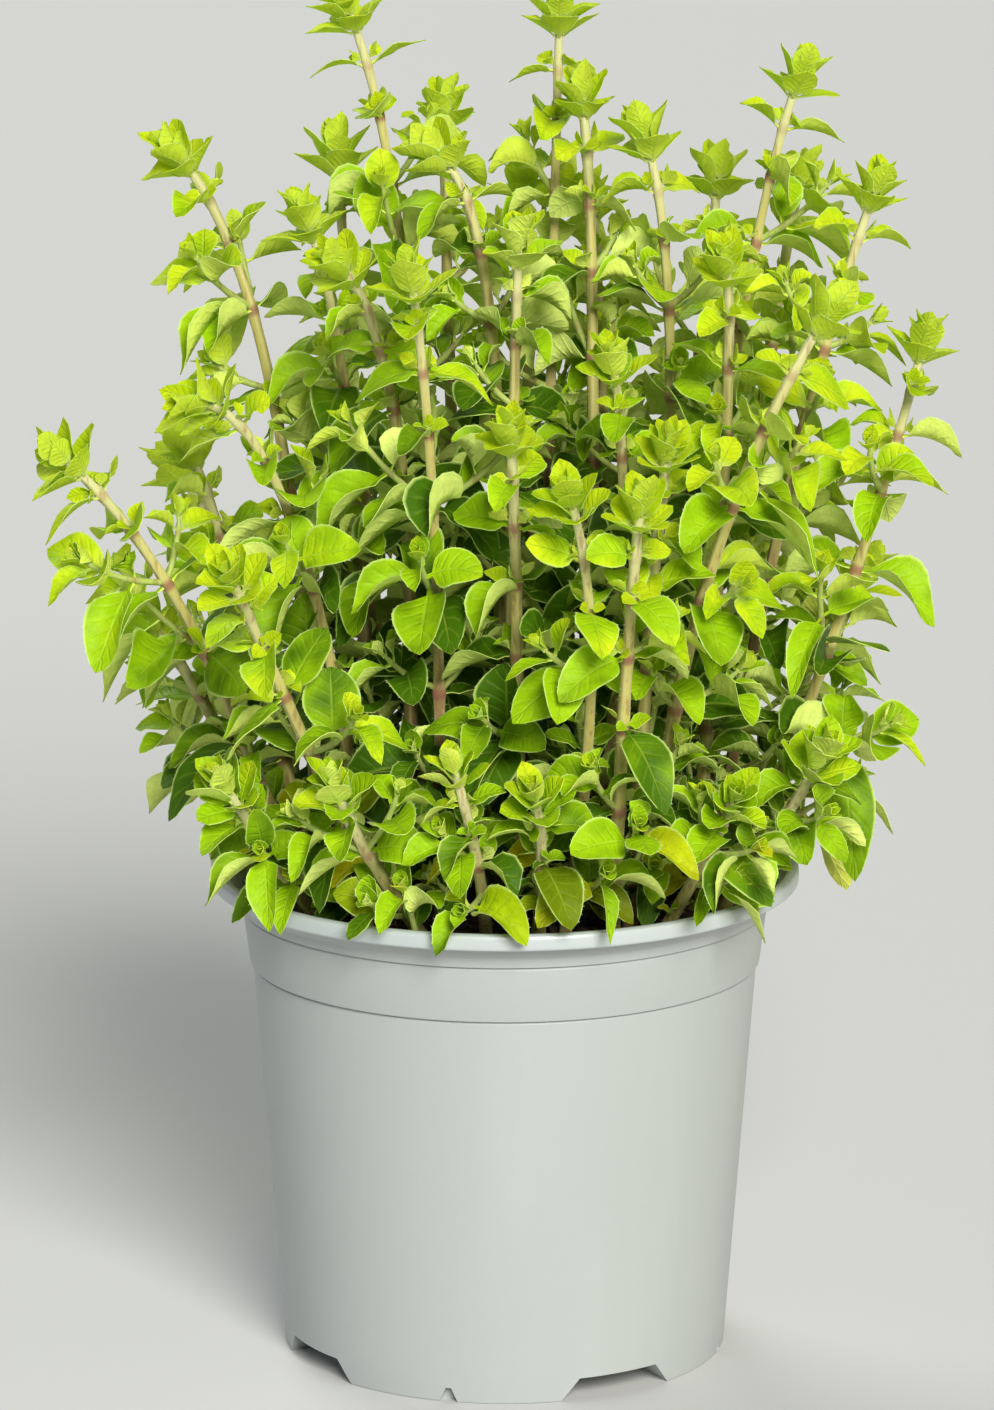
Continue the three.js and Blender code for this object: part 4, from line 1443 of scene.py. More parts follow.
    def _grow_axils(self, shoot: Shoot, knot: Knot, pair: int) -> None:
        """Grows a few tiny leaves in each axil that has no sprig.

        Args:
            shoot: The shoot.
            knot: The knot.
            pair: The knot's number from the top.
        """
        for side, face in enumerate(knot.faces):
            if (shoot.owner, pair, side) in self.grown:
                continue
            number = self.first_draw + self.bud_draws + 20 * pair + 8 * side
            out = knot.direction(face)
            way = unit(out * 0.75 + knot.along * 0.7)
            across = unit(np.cross(knot.along, out))
            middle = knot.middle + out * (knot.half + 0.3) + knot.along * 1.4
            bud = Knot(middle, way, across, np.cross(way, across), 0.0, 0.25)
            for leaf, leaf_face in enumerate((0, 2, 1), number):
                take = partial(draw, shoot.owner, leaf)
                size = mix(*self.bud_lengths, take(4)) * mix(0.75, 1.0, min(1, pair / 3))
                form = LeafForm(
                    length=size,
                    half=size * 0.33,
                    rise=mix(30, 60, take(5)),
                    swing=sway(shoot.owner, leaf, 7) * 30,
                    droop=0.5 * take(8),
                )
                self._grow(shoot, bud, leaf_face, form, self.bud_room, (shoot, leaf, self.bud_age))

    def leaves_of(self, shoot: Shoot) -> list[Leaf]:
        """A shoot's own leaves and those of its sprigs."""
        return shoot.leaves + [leaf for sprig in self.sprigs[shoot.owner] for leaf in sprig.leaves]

    def _free(
        self, samples: np.ndarray, air: float, owner: int, root: np.ndarray, own: float | None
    ) -> bool:
        """Whether points are inside the plant's box, off the pot and clear of all else.

        Args:
            samples: The points.
            air: What they keep clear.
            owner: The number of their shoot.
            root: Where they grow from.
            own: How far round the root their own shoot doesn't count. Without it nothing else does.

        Returns:
            Whether the place is free.
        """
        within = (samples > self.low).all() and (samples < self.high).all()
        if not within or not self.plant.clear_of_pot(samples, self.rim_air):
            return False
        return own is None or self.crowd.clear(samples, air, owner, root, own)

# ---- Meshes of the plant ----


def mesh_from(name: str, made: BMesh) -> Mesh:
    """A mesh of what a bmesh holds, which it frees.

    Args:
        name: The mesh's name.
        made: The bmesh.

    Returns:
        The mesh.
    """
    mesh = bpy.data.meshes.new(name)
    made.to_mesh(mesh)
    made.free()
    return mesh


def object_of(data: Mesh | bpy.types.Light | bpy.types.Camera) -> Object:
    """An object of a mesh, a lamp or a camera, linked to the scene and named like it.

    Args:
        data: What the object shows.

    Returns:
        The object.
    """
    thing = bpy.data.objects.new(data.name, data)
    bpy.context.scene.collection.objects.link(thing)
    return thing


def move_points(made: BMesh, places: np.ndarray) -> None:
    """Moves the points of a bmesh, in their order, to places in metres."""
    for vert, place in zip(made.verts, places):
        vert.co = place


def smooth(made: BMesh) -> None:
    """Shades all faces of a bmesh smoothly."""
    for face in made.faces:
        face.smooth = True


def shade_by_angle(made: BMesh, degrees: float) -> None:
    """Shades a bmesh smoothly but for edges at or over an angle."""
    smooth(made)
    for edge in made.edges:
        edge.smooth = edge.calc_face_angle(math.pi) < math.radians(degrees)


class LeafKind(Enum):
    """The forms that leaves are bent from: the shares of their rows, and their columns."""

    LARGE = ((0.0, 0.105, 0.165, 0.235, 0.325, 0.42, 0.52, 0.62, 0.73, 0.84, 0.935, 1.0), 4)
    FULL = ((0.0, 0.105, 0.17, 0.265, 0.385, 0.51, 0.64, 0.78, 0.91, 1.0), 4)
    SMALL = ((0.0, 0.105, 0.17, 0.30, 0.47, 0.65, 0.85, 1.0), 4)
    TINY = ((0.0, 0.1, 0.3, 0.52, 0.76, 1.0), 2)


class LeafBlank:
    """A flat closed blade of a few dozen faces, which leaves of its kind are bent from."""

    PETIOLE = 0.11
    PETIOLE_HALF = 0.5
    BLADE_HALF_THICK = 0.17
    ROOT_HALF_THICK = 0.28
    ROOT_LENGTH = 0.1
    SLIM_UNDER = 12
    THIN_UNDER = 30
    SHARP = 60

    def __init__(self, kind: LeafKind) -> None:
        """Builds the blank from a grid, its tip drawn together and its faces given thickness.

        Args:
            kind: The kind of leaf that it is for.
        """
        rows, columns = kind.value
        made = bmesh.new()
        bmesh.ops.create_grid(made, x_segments=columns, y_segments=len(rows) - 1, size=1.0)
        for vert in made.verts:
            vert.co.y = rows[round((vert.co.y + 1) / 2 * (len(rows) - 1))]
        tip = [vert for vert in made.verts if vert.co.y == 1.0]
        bmesh.ops.pointmerge(made, verts=tip, merge_co=(0, 1, 0))
        bmesh.ops.solidify(made, geom=made.faces[:], thickness=0.5)
        shade_by_angle(made, self.SHARP)
        self.mesh = mesh_from(f"blank_{kind.name.lower()}", made)
        self.across, self.along, height = np.array([vert.co[:] for vert in self.mesh.vertices]).T
        self.side = np.where(height > height.mean(), 1.0, -1.0)
        self.mesh.calc_loop_triangles()
        corners = np.array([triangle.vertices[:] for triangle in self.mesh.loop_triangles])
        blade = (self.side[corners] > 0).all(axis=1) & (self.along[corners].min(axis=1) > self.PETIOLE)
        self.sheet = corners[blade].tolist()

    def bend(self, leaf: Leaf) -> np.ndarray:
        """The blank's points bent into the shape of a leaf.

        Args:
            leaf: The leaf.

        Returns:
            The points in millimetres.
        """
        points, face, side = leaf.midrib(self.along)
        turn = (leaf.twist * (0.2 + self.along))[:, None]
        cos, sin = np.cos(turn), np.sin(turn)
        face, side = face * cos + side * sin, side * cos - face * sin
        blade = np.clip((self.along - self.PETIOLE) / (1 - self.PETIOLE), 0, 1)
        ovate = np.abs(np.sin(math.pi * blade**0.82)) ** (0.50 + leaf.point * blade)
        neck = self.PETIOLE_HALF * min(1.0, leaf.length / self.SLIM_UNDER) * (1 - blade)
        half = np.maximum(neck, ovate * leaf.half * leaf.breadth)
        out = np.abs(self.across)
        open_share = ovate * np.minimum(1, half / leaf.half)
        vee = out * math.sin(leaf.fold + leaf.cup) - out**2 * leaf.curl * 0.5
        ripple = np.sin(self.along * 11 + leaf.phase + np.sign(self.across) * 1.3)
        lift = half * vee * open_share + out**2 * ripple * leaf.wave * open_share
        thick = self.BLADE_HALF_THICK * (1 - 0.45 * out)
        thick = thick + self.ROOT_HALF_THICK * np.exp(-(self.along / self.ROOT_LENGTH) ** 2)
        thick = thick * (1 - 0.4 * self.along) * min(1.0, 0.55 + leaf.length / self.THIN_UNDER)
        spread = (-self.across * half * math.cos(leaf.fold + leaf.cup))[:, None] * side
        return points + spread + (lift + self.side * thick)[:, None] * face


@dataclass
class Foliage:
    """Bends the leaves out of their blanks and joins those of a shoot into one mesh."""

    large_over: float = 14
    full_over: float = 11.5
    small_over: float = 6.2
    pot_air: float = 0.3
    ease_rounds: int = 4
    eased_share: float = 0.35
    least_bent: float = 0.25

    def __post_init__(self) -> None:
        """Makes the blanks once."""
        self.blanks = {kind: LeafBlank(kind) for kind in LeafKind}

    def blank_of(self, leaf: Leaf) -> LeafBlank:
        """The blank that a leaf of its size is bent from.

        Args:
            leaf: The leaf.

        Returns:
            Its blank.
        """
        if leaf.length > self.full_over:
            return self.blanks[LeafKind.LARGE if leaf.length > self.large_over else LeafKind.FULL]
        return self.blanks[LeafKind.SMALL if leaf.length > self.small_over else LeafKind.TINY]

    def ease(self, leaf: Leaf, plant: Oregano) -> None:
        """Takes the twist and the cup out of a leaf that would touch the pot or the mix."""
        if not plant.clear_of_pot(self.blank_of(leaf).bend(leaf), self.pot_air):
            leaf.twist = leaf.cup = 0.0

    def untangle(self, leaves: list[Leaf]) -> None:
        """Takes most of the twist and the cup out of blades that would cut through others.

        Of two such blades it eases the smaller one first, as long as that one is bent at all.

        Args:
            leaves: All the leaves of the plant.
        """
        for _ in range(self.ease_rounds):
            eased = set()
            pairs = self._tangled(leaves)
            for pair in pairs:
                small, large = sorted(pair, key=lambda number: leaves[number].length)
                bent = abs(leaves[small].twist) + abs(leaves[small].cup) > self.least_bent
                if not eased.intersection(pair):
                    eased.add(small if bent else large)
            for number in eased:
                leaves[number].twist *= self.eased_share
                leaves[number].cup *= self.eased_share
            log.info("%d pairs of blades met, %d blades eased", len(pairs), len(eased))

    def _tangled(self, leaves: list[Leaf]) -> list[tuple[int, int]]:
        """Which leaves cut through each other.

        Args:
            leaves: The leaves.

        Returns:
            The numbers of each pair.
        """
        trees, middles, reaches = [], [], []
        for leaf in leaves:
            blank = self.blank_of(leaf)
            points = blank.bend(leaf)
            trees.append(BVHTree.FromPolygons(points.tolist(), blank.sheet, all_triangles=True))
            middles.append(points.mean(axis=0))
            reaches.append(np.linalg.norm(points - middles[-1], axis=1).max())
        middles, reaches = np.array(middles), np.array(reaches)
        squares = (middles**2).sum(axis=1)
        apart = squares[:, None] + squares - 2 * middles @ middles.T
        near = np.argwhere(np.triu(apart < (reaches[:, None] + reaches) ** 2, 1))
        return [(a, b) for a, b in near.tolist() if trees[a].overlap(trees[b])]

    def mesh(self, name: str, leaves: list[Leaf]) -> Mesh:
        """One mesh of all the leaves given, held inside the box of the solids.

        Args:
            name: The mesh's name.
            leaves: The leaves.

        Returns:
            The mesh in metres, with the attributes that the leaf finish reads.
        """
        made = bmesh.new()
        points, blade, tint = [], [], []
        for leaf in leaves:
            blank = self.blank_of(leaf)
            made.from_mesh(blank.mesh)
            points.append(blank.bend(leaf))
            blade.append(np.column_stack([blank.across, blank.along, (blank.side + 1) / 2]))
            tint.append(np.tile([leaf.age, leaf.tone, leaf.yellow], (len(blank.across), 1)))
        move_points(made, in_metres(np.concatenate(points)).clip(*CAD_BOX))
        mesh = mesh_from(name, made)
        add_attribute(mesh, "blade", np.concatenate(blade))
        add_attribute(mesh, "tint", np.concatenate(tint))
        return mesh


def add_attribute(mesh: Mesh, name: str, values: np.ndarray) -> None:
    """Gives every point of a mesh three numbers of its own.

    Args:
        mesh: The mesh.
        name: The attribute's name.
        values: One row of three numbers for each point.
    """
    layer = mesh.attributes.new(name, "FLOAT_VECTOR", "POINT")
    layer.data.foreach_set("vector", np.ascontiguousarray(values, np.float32).ravel())


@dataclass
class Stalks:
    """Makes the stalks: square with rounded corners, with a swelling at every knot."""

    sides: int = 12
    sprig_sides: int = 8
    ring_step: float = 4.0
    buried: float = 6.0
    squareness: float = 4.5
    swelling: float = 0.26
    knot_reach: float = 1.7
    knot_rings: tuple[float, ...] = (-1.6, -0.7, 0.0, 0.7, 1.6)
    least_gap: float = 0.25
    colour_length: float = 180.0
    point: float = 3.0
    point_half: float = 0.25

    def mesh(self, name: str, shoot: Shoot, sprigs: list[Shoot]) -> Mesh:
        """The mesh of one stalk with the stalks of its sprigs.

        Args:
            name: The mesh's name.
            shoot: The shoot.
            sprigs: Its sprigs.

        Returns:
            The mesh in metres, with the attributes that the stalk finish reads.
        """
        made = bmesh.new()
        tubes = [self._tube(made, shoot, shoot, self.sides, self.buried)]
        tubes += [self._tube(made, sprig, shoot, self.sprig_sides, 0.0) for sprig in sprigs]
        move_points(made, in_metres(np.concatenate([tube[0] for tube in tubes])))
        stem, ridge_highlight = made.verts.layers.float_vector.new("stem"), made.verts.layers.float.new("ridge_highlight")
        for vert, row in zip(made.verts, np.concatenate([tube[1] for tube in tubes])):
            vert[stem], vert[ridge_highlight] = row[:3], row[3]
        bmesh.ops.remove_doubles(made, verts=made.verts[:], dist=1e-7)
        open_edges = [edge for edge in made.edges if edge.is_boundary]
        bmesh.ops.holes_fill(made, edges=open_edges, sides=0)
        bmesh.ops.recalc_face_normals(made, faces=made.faces[:])
        smooth(made)
        return mesh_from(name, made)

    def _heights(self, shoot: Shoot) -> np.ndarray:
        """Where a stalk's rings are, closer together at its knots.

        Args:
            shoot: The shoot or sprig.

        Returns:
            Their distances below its tip.
        """
        plain = np.arange(0.4, shoot.line.length, self.ring_step)
        near = [knot.below + away for knot in shoot.knots for away in self.knot_rings]
        rings = np.array(sorted([0.0, *plain, *near, shoot.line.length]))
        rings = rings[(rings >= 0) & (rings <= shoot.line.length)]
        keep = np.concatenate(([True], np.diff(rings) > self.least_gap))
        return rings[keep]

    def _tube(
        self, made: BMesh, shoot: Shoot, parent: Shoot, sides: int, buried: float
    ) -> tuple[np.ndarray, np.ndarray]:
        """Adds a grid and works out where its points go round the stalk.

        Args:
            made: The bmesh that the grid goes into.
            shoot: The shoot or sprig.
            parent: The shoot whose draw it takes.
            sides: How many sides it has.
            buried: How far it goes straight down past its foot.

        Returns:
            The points in millimetres, and the stem and ridge_highlight attributes of each.
        """
        rings = self._heights(shoot)
        rows = len(rings) + 1
        grid = bmesh.ops.create_grid(made, x_segments=sides, y_segments=rows - 1, size=0.5)["verts"]
        angles = 2 * math.pi * (np.arange(sides + 1) + 0.5) / sides
        cos, sin, power = np.cos(angles), np.sin(angles), self.squareness
        reach = (np.abs(cos) ** power + np.abs(sin) ** power) ** (-1 / power)
        cos, sin = cos * reach, sin * reach
        cos[-1], sin[-1] = cos[0], sin[0]
        tone = draw(parent.owner, 7, 21) if shoot is parent else -1.0
        # 1 on the four corners, where the stalk finish paints a highlight.
        ridge_highlight = np.abs(np.sin(2 * angles)) ** 2
        table, stems = np.empty((rows, sides + 1, 3)), np.empty((rows, sides + 1, 4))
        for row, below in enumerate(rings):
            knot = shoot.line.knot(float(below), shoot.turn, shoot.half(below))
            away = [(below - other.below) / self.knot_reach for other in shoot.knots]
            near = max([math.exp(-(share**2)) for share in away], default=0)
            half = knot.half * (1 + self.swelling * near)
            if below < self.point:
                half *= mix(self.point_half, 1.0, below / self.point)
            table[row] = knot.middle + half * (cos[:, None] * knot.first + sin[:, None] * knot.second)
            stems[row, :, :3] = (below / self.colour_length, near, tone)
            stems[row, :, 3] = ridge_highlight
        end = -UP * buried if buried else -shoot.line.place(shoot.line.length)[1] * 0.6
        table[-1] = table[-2] + end
        stems[-1] = stems[-2]
        places = np.array([vert.co[:2] for vert in grid]) + 0.5
        column = np.rint(places[:, 0] * sides).astype(int)
        line = np.rint(places[:, 1] * (rows - 1)).astype(int)
        return table[line, column], stems[line, column]


@dataclass
class Hairs:
    """Short stiff hairs on the stalks and along the margins of the larger leaves."""

    per_mm: float = 1.7
    hairy_below: float = 2.0
    hairless_above: float = 9.0
    margin_gap: float = 1.75
    stalk_length: float = 0.95
    margin_length: float = 0.5
    half: float = 0.036
    bundle: int = 48
    sunk: float = 0.06
    finish: PlainFinish = PlainFinish("pale_hair", (0.80, 0.82, 0.60), 0.5)

    def __post_init__(self) -> None:
        """Makes a three-sided hair of length 1, and the bundle of them that all hairs come from."""
        hair, bundle = bmesh.new(), bmesh.new()
        bmesh.ops.create_cone(hair, cap_ends=True, segments=3, radius1=1.0, radius2=0.0, depth=1.0)
        bmesh.ops.translate(hair, verts=hair.verts[:], vec=(0.0, 0.0, 0.5))
        single = mesh_from("hair", hair)
        for _ in range(self.bundle):
            bundle.from_mesh(single)
        self.blank = mesh_from("hair_bundle", bundle)
        self.places = np.array([vert.co[:] for vert in single.vertices])

    def mesh(self, name: str, shoot: Shoot, leaves: list[Leaf], foliage: Foliage) -> Mesh:
        """The hairs of one shoot in one mesh.

        Args:
            name: The mesh's name.
            shoot: The shoot.
            leaves: All its leaves.
            foliage: What bends the leaves.

        Returns:
            The mesh in metres.
        """
        roots, ways = self._on_stalk(shoot)
        for leaf in leaves:
            if leaf.length > self.hairless_above:
                more_roots, more_ways = self._on_margin(leaf, foliage)
                roots, ways = np.concatenate([roots, more_roots]), np.concatenate([ways, more_ways])
        ends = in_metres(roots + ways)
        within = ((ends > CAD_BOX[0]) & (ends < CAD_BOX[1])).all(axis=1)
        bundles = int(within.sum()) // self.bundle
        kept = np.nonzero(within)[0][: bundles * self.bundle]
        roots, ways = roots[kept], ways[kept]
        made = bmesh.new()
        for _ in range(bundles):
            made.from_mesh(self.blank)
        x, y, z = (self.places[None, :, k : k + 1] for k in range(3))
        first = unit(np.cross(ways, (0.31, 0.52, 0.8)))
        second = np.cross(unit(ways), first)
        points = roots[:, None] + ways[:, None] * (z * (1 + self.sunk) - self.sunk)
        points = points + (first[:, None] * x + second[:, None] * y) * self.half
        move_points(made, in_metres(points.reshape(-1, 3)).clip(*CAD_BOX))
        return mesh_from(name, made)

    def _on_stalk(self, shoot: Shoot) -> tuple[np.ndarray, np.ndarray]:
        """Where hairs stand on a stalk.

        Args:
            shoot: The shoot.

        Returns:
            Their roots, and each hair from root to tip.
        """
        count = int((shoot.line.length - self.hairy_below) * self.per_mm)
        roots, ways = np.empty((count, 3)), np.empty((count, 3))
        for i in range(count):
            below = mix(self.hairy_below, shoot.line.length, (i + 0.5) / count)
            knot = shoot.line.knot(below, shoot.turn, shoot.half(below))
            angle = 2 * math.pi * draw(shoot.owner, i, 41)
            out = math.cos(angle) * knot.first + math.sin(angle) * knot.second
            lean = knot.along * (draw(shoot.owner, i, 42) - 0.6)
            roots[i] = knot.middle + out * knot.half
            ways[i] = unit(out + lean) * self.stalk_length * mix(0.5, 1.2, draw(shoot.owner, i, 43))
        return roots, ways

    def _on_margin(self, leaf: Leaf, foliage: Foliage) -> tuple[np.ndarray, np.ndarray]:
        """Where hairs stand along a leaf's margin.

        Args:
            leaf: The leaf.
            foliage: What bends it.

        Returns:
            Their roots, and each hair from root to tip.
        """
        blank = foliage.blank_of(leaf)
        points = blank.bend(leaf)
        roots, ways = [], []
        for side in (-1.0, 1.0):
            on_rim = (blank.across == side) & (blank.side > 0)
            rim = points[on_rim][np.argsort(blank.along[on_rim])]
            run = run_along(rim)
            at = np.arange(0.25 * run[-1], run[-1], self.margin_gap)
            here = np.column_stack([np.interp(at, run, rim[:, k]) for k in range(3)])
            spine = leaf.midrib(np.clip(at / run[-1] - 0.1, 0, 1))[0]
            roots.append(here)
            ways.append(unit(here - spine) * self.margin_length)
        return np.concatenate(roots), np.concatenate(ways)


# ---- The pot and the mix ----


def spun(profile: list[Pair], turns: int) -> BMesh:
    """Spins an outline round the pot's axis.

    Args:
        profile: Radius and height pairs in millimetres.
        turns: How many steps make the full turn.

    Returns:
        A bmesh in metres.
    """
    made = bmesh.new()
    verts = [made.verts.new(place) for place in in_metres(np.array([(r, 0.0, z) for r, z in profile]))]
    edges = [made.edges.new(pair) for pair in zip(verts, verts[1:])]
    full = {"axis": (0, 0, 1), "dvec": (0, 0, 0), "angle": 2 * math.pi, "use_merge": True}
    bmesh.ops.spin(made, geom=verts + edges, cent=AXIS * MM, steps=turns, **full)
    bmesh.ops.remove_doubles(made, verts=made.verts[:], dist=1e-6)
    bmesh.ops.recalc_face_normals(made, faces=made.faces[:])
    return made


def rounded(corners: list[Triple], steps: int = 4) -> list[Pair]:
    """An open outline with its corners rounded.

    Args:
        corners: Radius, height and rounding radius of each corner, in millimetres.
        steps: How many pieces each rounding has.

    Returns:
        The outline as radius and height pairs.
    """
    points = [np.array(c[:2], float) for c in corners]
    made = [tuple(points[0])]
    for before, here, after, corner in zip(points, points[1:], points[2:], corners[1:-1]):
        radius = corner[2]
        to_before, to_after = unit(before - here), unit(after - here)
        half = math.acos(float(np.clip(to_before @ to_after, -1, 1))) / 2
        if radius <= 0 or half > 1.55:
            made.append(tuple(here))
            continue
        limit = 0.48 * min(np.linalg.norm(before - here), np.linalg.norm(after - here))
        run = min(radius / math.tan(half), limit)
        start, end = here + to_before * run, here + to_after * run
        for i in range(steps + 1):
            t = i / steps
            made.append(tuple((1 - t) ** 2 * start + 2 * t * (1 - t) * here + t**2 * end))
    made.append(tuple(points[-1]))
    return made


@dataclass
class Pot:
    """The nursery pot: a tapering wall with a small step, a flared collar, a rim and four feet."""

    base_radius: float = 48.7
    shoulder_radius: float = 55.3
    shoulder_step: float = 0.7
    shoulder_z: float = 87.3
    groove: float = 0.35
    groove_height: float = 0.7
    collar_radius: float = 57.5
    collar_z: float = 100.0
    band_radius: float = 60.2
    band_z: float = 101.8
    band_top: float = 104.1
    rim_radius: float = 64.5
    rim_inner: float = 61.9
    rim_bottom: float = 104.9
    rim_top: float = 108.5
    wall: float = 1.1
    floor_under: float = 5.0
    floor_top: float = 6.2
    foot_inner: float = 36.0
    foot_turn: float = -104.4
    feet: int = 4
    gap_bottom_half: float = 13.6
    gap_top_half: float = 9.6
    nick_bottom_half: float = 2.0
    nick_top_half: float = 0.6
    nick_height: float = 3.2
    nick_depth: float = 2.2
    gap_start: float = 18.0
    drain_radius: float = 3.4
    drain_ring: float = 41.5
    drain_low: float = -1.0
    drain_high: float = 7.2
    drain_sides: int = 24
    cut_under: float = 1.0
    sharp: float = 28
    turns: int = 144

    def outline(self) -> list[Pair]:
        """Half the pot's section, from the middle of its underside round to its floor inside."""
        base, shoulder = self.base_radius, self.shoulder_radius
        collar, rim = self.collar_radius, self.rim_radius
        step_z, lip_z, under_z = self.shoulder_z, self.collar_z, self.rim_bottom
        neck = collar - self.wall
        return rounded(
            [
                (0.0, self.floor_under, 0),
                (self.foot_inner, self.floor_under, 0.4),
                (self.foot_inner, 0.0, 0.3),
                (base, 0.0, 0.4),
                (base + 0.6, 8.0, 0),
                (shoulder, step_z - self.groove_height, 0.15),
                (shoulder - self.groove, step_z - 0.2, 0.1),
                (shoulder - self.groove, step_z, 0.05),
                (shoulder + self.shoulder_step, step_z, 0.25),
                (collar, lip_z - 0.3 - self.groove_height, 0.15),
                (collar - self.groove, lip_z - 0.5, 0.1),
                (collar - self.groove, lip_z - 0.3, 0.05),
                (collar + 0.55, lip_z - 0.3, 0.2),
                (collar + 0.75, self.band_z, 1.2),
                (self.band_radius, self.band_top, 1.6),
                (rim - 1.4, under_z, 0.3),
                (rim, under_z + 0.1, 1.2),
                (rim, self.rim_top, 1.5),
                (self.rim_inner, self.rim_top, 1.0),
                (self.rim_inner, under_z + 1.3, 0.8),
                (self.rim_inner - 1.9, under_z + 0.3, 0.8),
                (neck + 1.2, self.band_z + 0.8, 1.2),
                (neck, lip_z + 0.8, 0.6),
                (shoulder - self.wall, step_z, 0),
                (base - self.wall, self.floor_top, 0.8),
                (0.0, self.floor_top, 0),
            ]
        )

    def cutters(self) -> Object:
        """The shapes of the gaps between the feet, the notches and the drain holes."""
        made = bmesh.new()
        gap = (self.gap_bottom_half, self.gap_top_half, self.floor_under, self.gap_start)
        nick_start = self.base_radius - self.nick_depth
        nick = (self.nick_bottom_half, self.nick_top_half, self.nick_height, nick_start)
        middle = Matrix.Translation((self.drain_ring, 0, (self.drain_low + self.drain_high) / 2))
        drain = {"segments": self.drain_sides, "depth": self.drain_high - self.drain_low, "cap_ends": True}
        drain |= {"radius1": self.drain_radius, "radius2": self.drain_radius}
        for quarter in range(self.feet):
            foot = self.foot_turn + 90 * quarter
            self._wedge(made, gap, foot + 45)
            self._wedge(made, nick, foot)
            turn = Matrix.Rotation(math.radians(foot + 45), 4, "Z")
            bmesh.ops.create_cone(made, matrix=turn @ middle, **drain)
        place = Matrix.Translation(AXIS * MM) @ Matrix.Scale(MM, 4)
        bmesh.ops.transform(made, matrix=place, verts=made.verts[:])
        bmesh.ops.recalc_face_normals(made, faces=made.faces[:])
        return object_of(mesh_from("pot_cutters", made))

    def _wedge(self, made: BMesh, sizes: tuple[float, float, float, float], degrees: float) -> None:
        """Adds a bar with slanted sides that points outwards from the axis.

        Args:
            made: The bmesh that it goes into.
            sizes: Half its width on the ground and at its top, its height, and where it starts.
            degrees: Its direction.
        """
        low, high, height, start = sizes
        length = self.rim_radius - start
        bottom = low + (low - high) / height * self.cut_under
        bar = bmesh.ops.create_cube(made, size=1.0)["verts"]
        for vert in bar:
            half, z = (high, height) if vert.co.z > 0 else (bottom, -self.cut_under)
            vert.co = (start + (vert.co.x + 0.5) * length, 2 * half * vert.co.y, z)
        turn = Matrix.Rotation(math.radians(degrees), 3, "Z")
        bmesh.ops.rotate(made, verts=bar, cent=(0, 0, 0), matrix=turn)

    def build(self) -> Mesh:
        """Spins the pot, cuts its underside and shades its corners."""
        whole = object_of(mesh_from("pot_body", spun(self.outline(), self.turns)))
        cutter = self.cutters()
        cut = whole.modifiers.new("feet", "BOOLEAN")
        cut.operation, cut.solver, cut.object, cut.use_self = "DIFFERENCE", "EXACT", cutter, True
        result = whole.evaluated_get(bpy.context.evaluated_depsgraph_get())
        made = bmesh.new()
        made.from_mesh(bpy.data.meshes.new_from_object(result))
        shade_by_angle(made, self.sharp)
        bpy.data.objects.remove(cutter)
        bpy.data.objects.remove(whole)
        return mesh_from("grey_pot", made)


@dataclass
class PottingMix:
    """The potting mix: a body that fills the pot, with a rough crumbly top."""

    top: float = 100.5
    radius: float = 56.0
    low_radius: float = 47.0
    neck_radius: float = 53.8
    neck_z: float = 87.3
    bottom: float = 6.6
    rings: int = 26
    turns: int = 96
    relief: float = 1.3
    hollow: float = 0.35
    crumbs: int = 520
    crumb_sizes: Pair = (0.5, 1.7)
    crumb_edge: float = 2.0

    def build(self) -> Mesh:
        """Spins the body, roughens its top and strews crumbs on it."""
        outline = [(0.0, self.bottom), (self.low_radius, self.bottom), (self.neck_radius, self.neck_z)]
        outline += [(self.radius * i / self.rings, self.top) for i in range(self.rings, -1, -1)]
        made = spun(outline, self.turns)
        for vert in made.verts:
            if vert.co.z > (self.top - 1) * MM:
                vert.co.z += self._relief(vert.co)
        self._strew(made)
        smooth(made)
        return mesh_from("crumbly_mix", made)

    def _relief(self, place: Vector) -> float:
        """The height of the mix over its flat top at a place, in metres."""
        fine = noise.noise(place * 210) * 0.5 + noise.noise(place * 620) * 0.3
        return (fine - self.hollow) * self.relief * MM

    def _strew(self, made: BMesh) -> None:
        """Adds small uneven crumbs all over the top.

        Args:
            made: The bmesh that they go into.
        """
        for number in range(self.crumbs):
            reach = (self.radius - self.crumb_edge) * math.sqrt(draw(number, 1, 31))
            angle = 2 * math.pi * draw(number, 2, 31)
            size = mix(*self.crumb_sizes, draw(number, 3, 31) ** 2)
            place = Vector((reach * math.cos(angle), reach * math.sin(angle), self.top + size * 0.1))
            place = (place + Vector(AXIS)) * MM
            scale = Vector((size, size * mix(0.6, 1.6, draw(number, 4, 31)), size * 0.7)) * MM
            turn = Matrix.Rotation(6.3 * draw(number, 5, 31), 4, "Z")
            turn = turn @ Matrix.Rotation(draw(number, 6, 31), 4, "X")
            matrix = Matrix.Translation(place) @ turn @ Matrix.Diagonal((*scale, 1))
            crumb = bmesh.ops.create_icosphere(made, subdivisions=1, radius=1.0, matrix=matrix)["verts"]
            for vert in crumb:
                vert.co += noise.noise_vector(vert.co * 900) * size * 0.25 * MM


# ---- The studio ----


@dataclass(frozen=True)
class Lamp:
    """A far soft lamp: the way to it, its strength, how wide it looks in degrees, and its colour."""

    name: str
    towards: Triple
    strength: float
    width: float
    colour: Triple

    def place(self) -> None:
        """Adds the lamp to the scene."""
        data = bpy.data.lights.new(self.name, "SUN")
        data.energy, data.angle, data.color = self.strength, math.radians(self.width), self.colour
        lamp = object_of(data)
        lamp.location = self.towards
        lamp.rotation_euler = Vector(self.towards).to_track_quat("Z", "Y").to_euler()


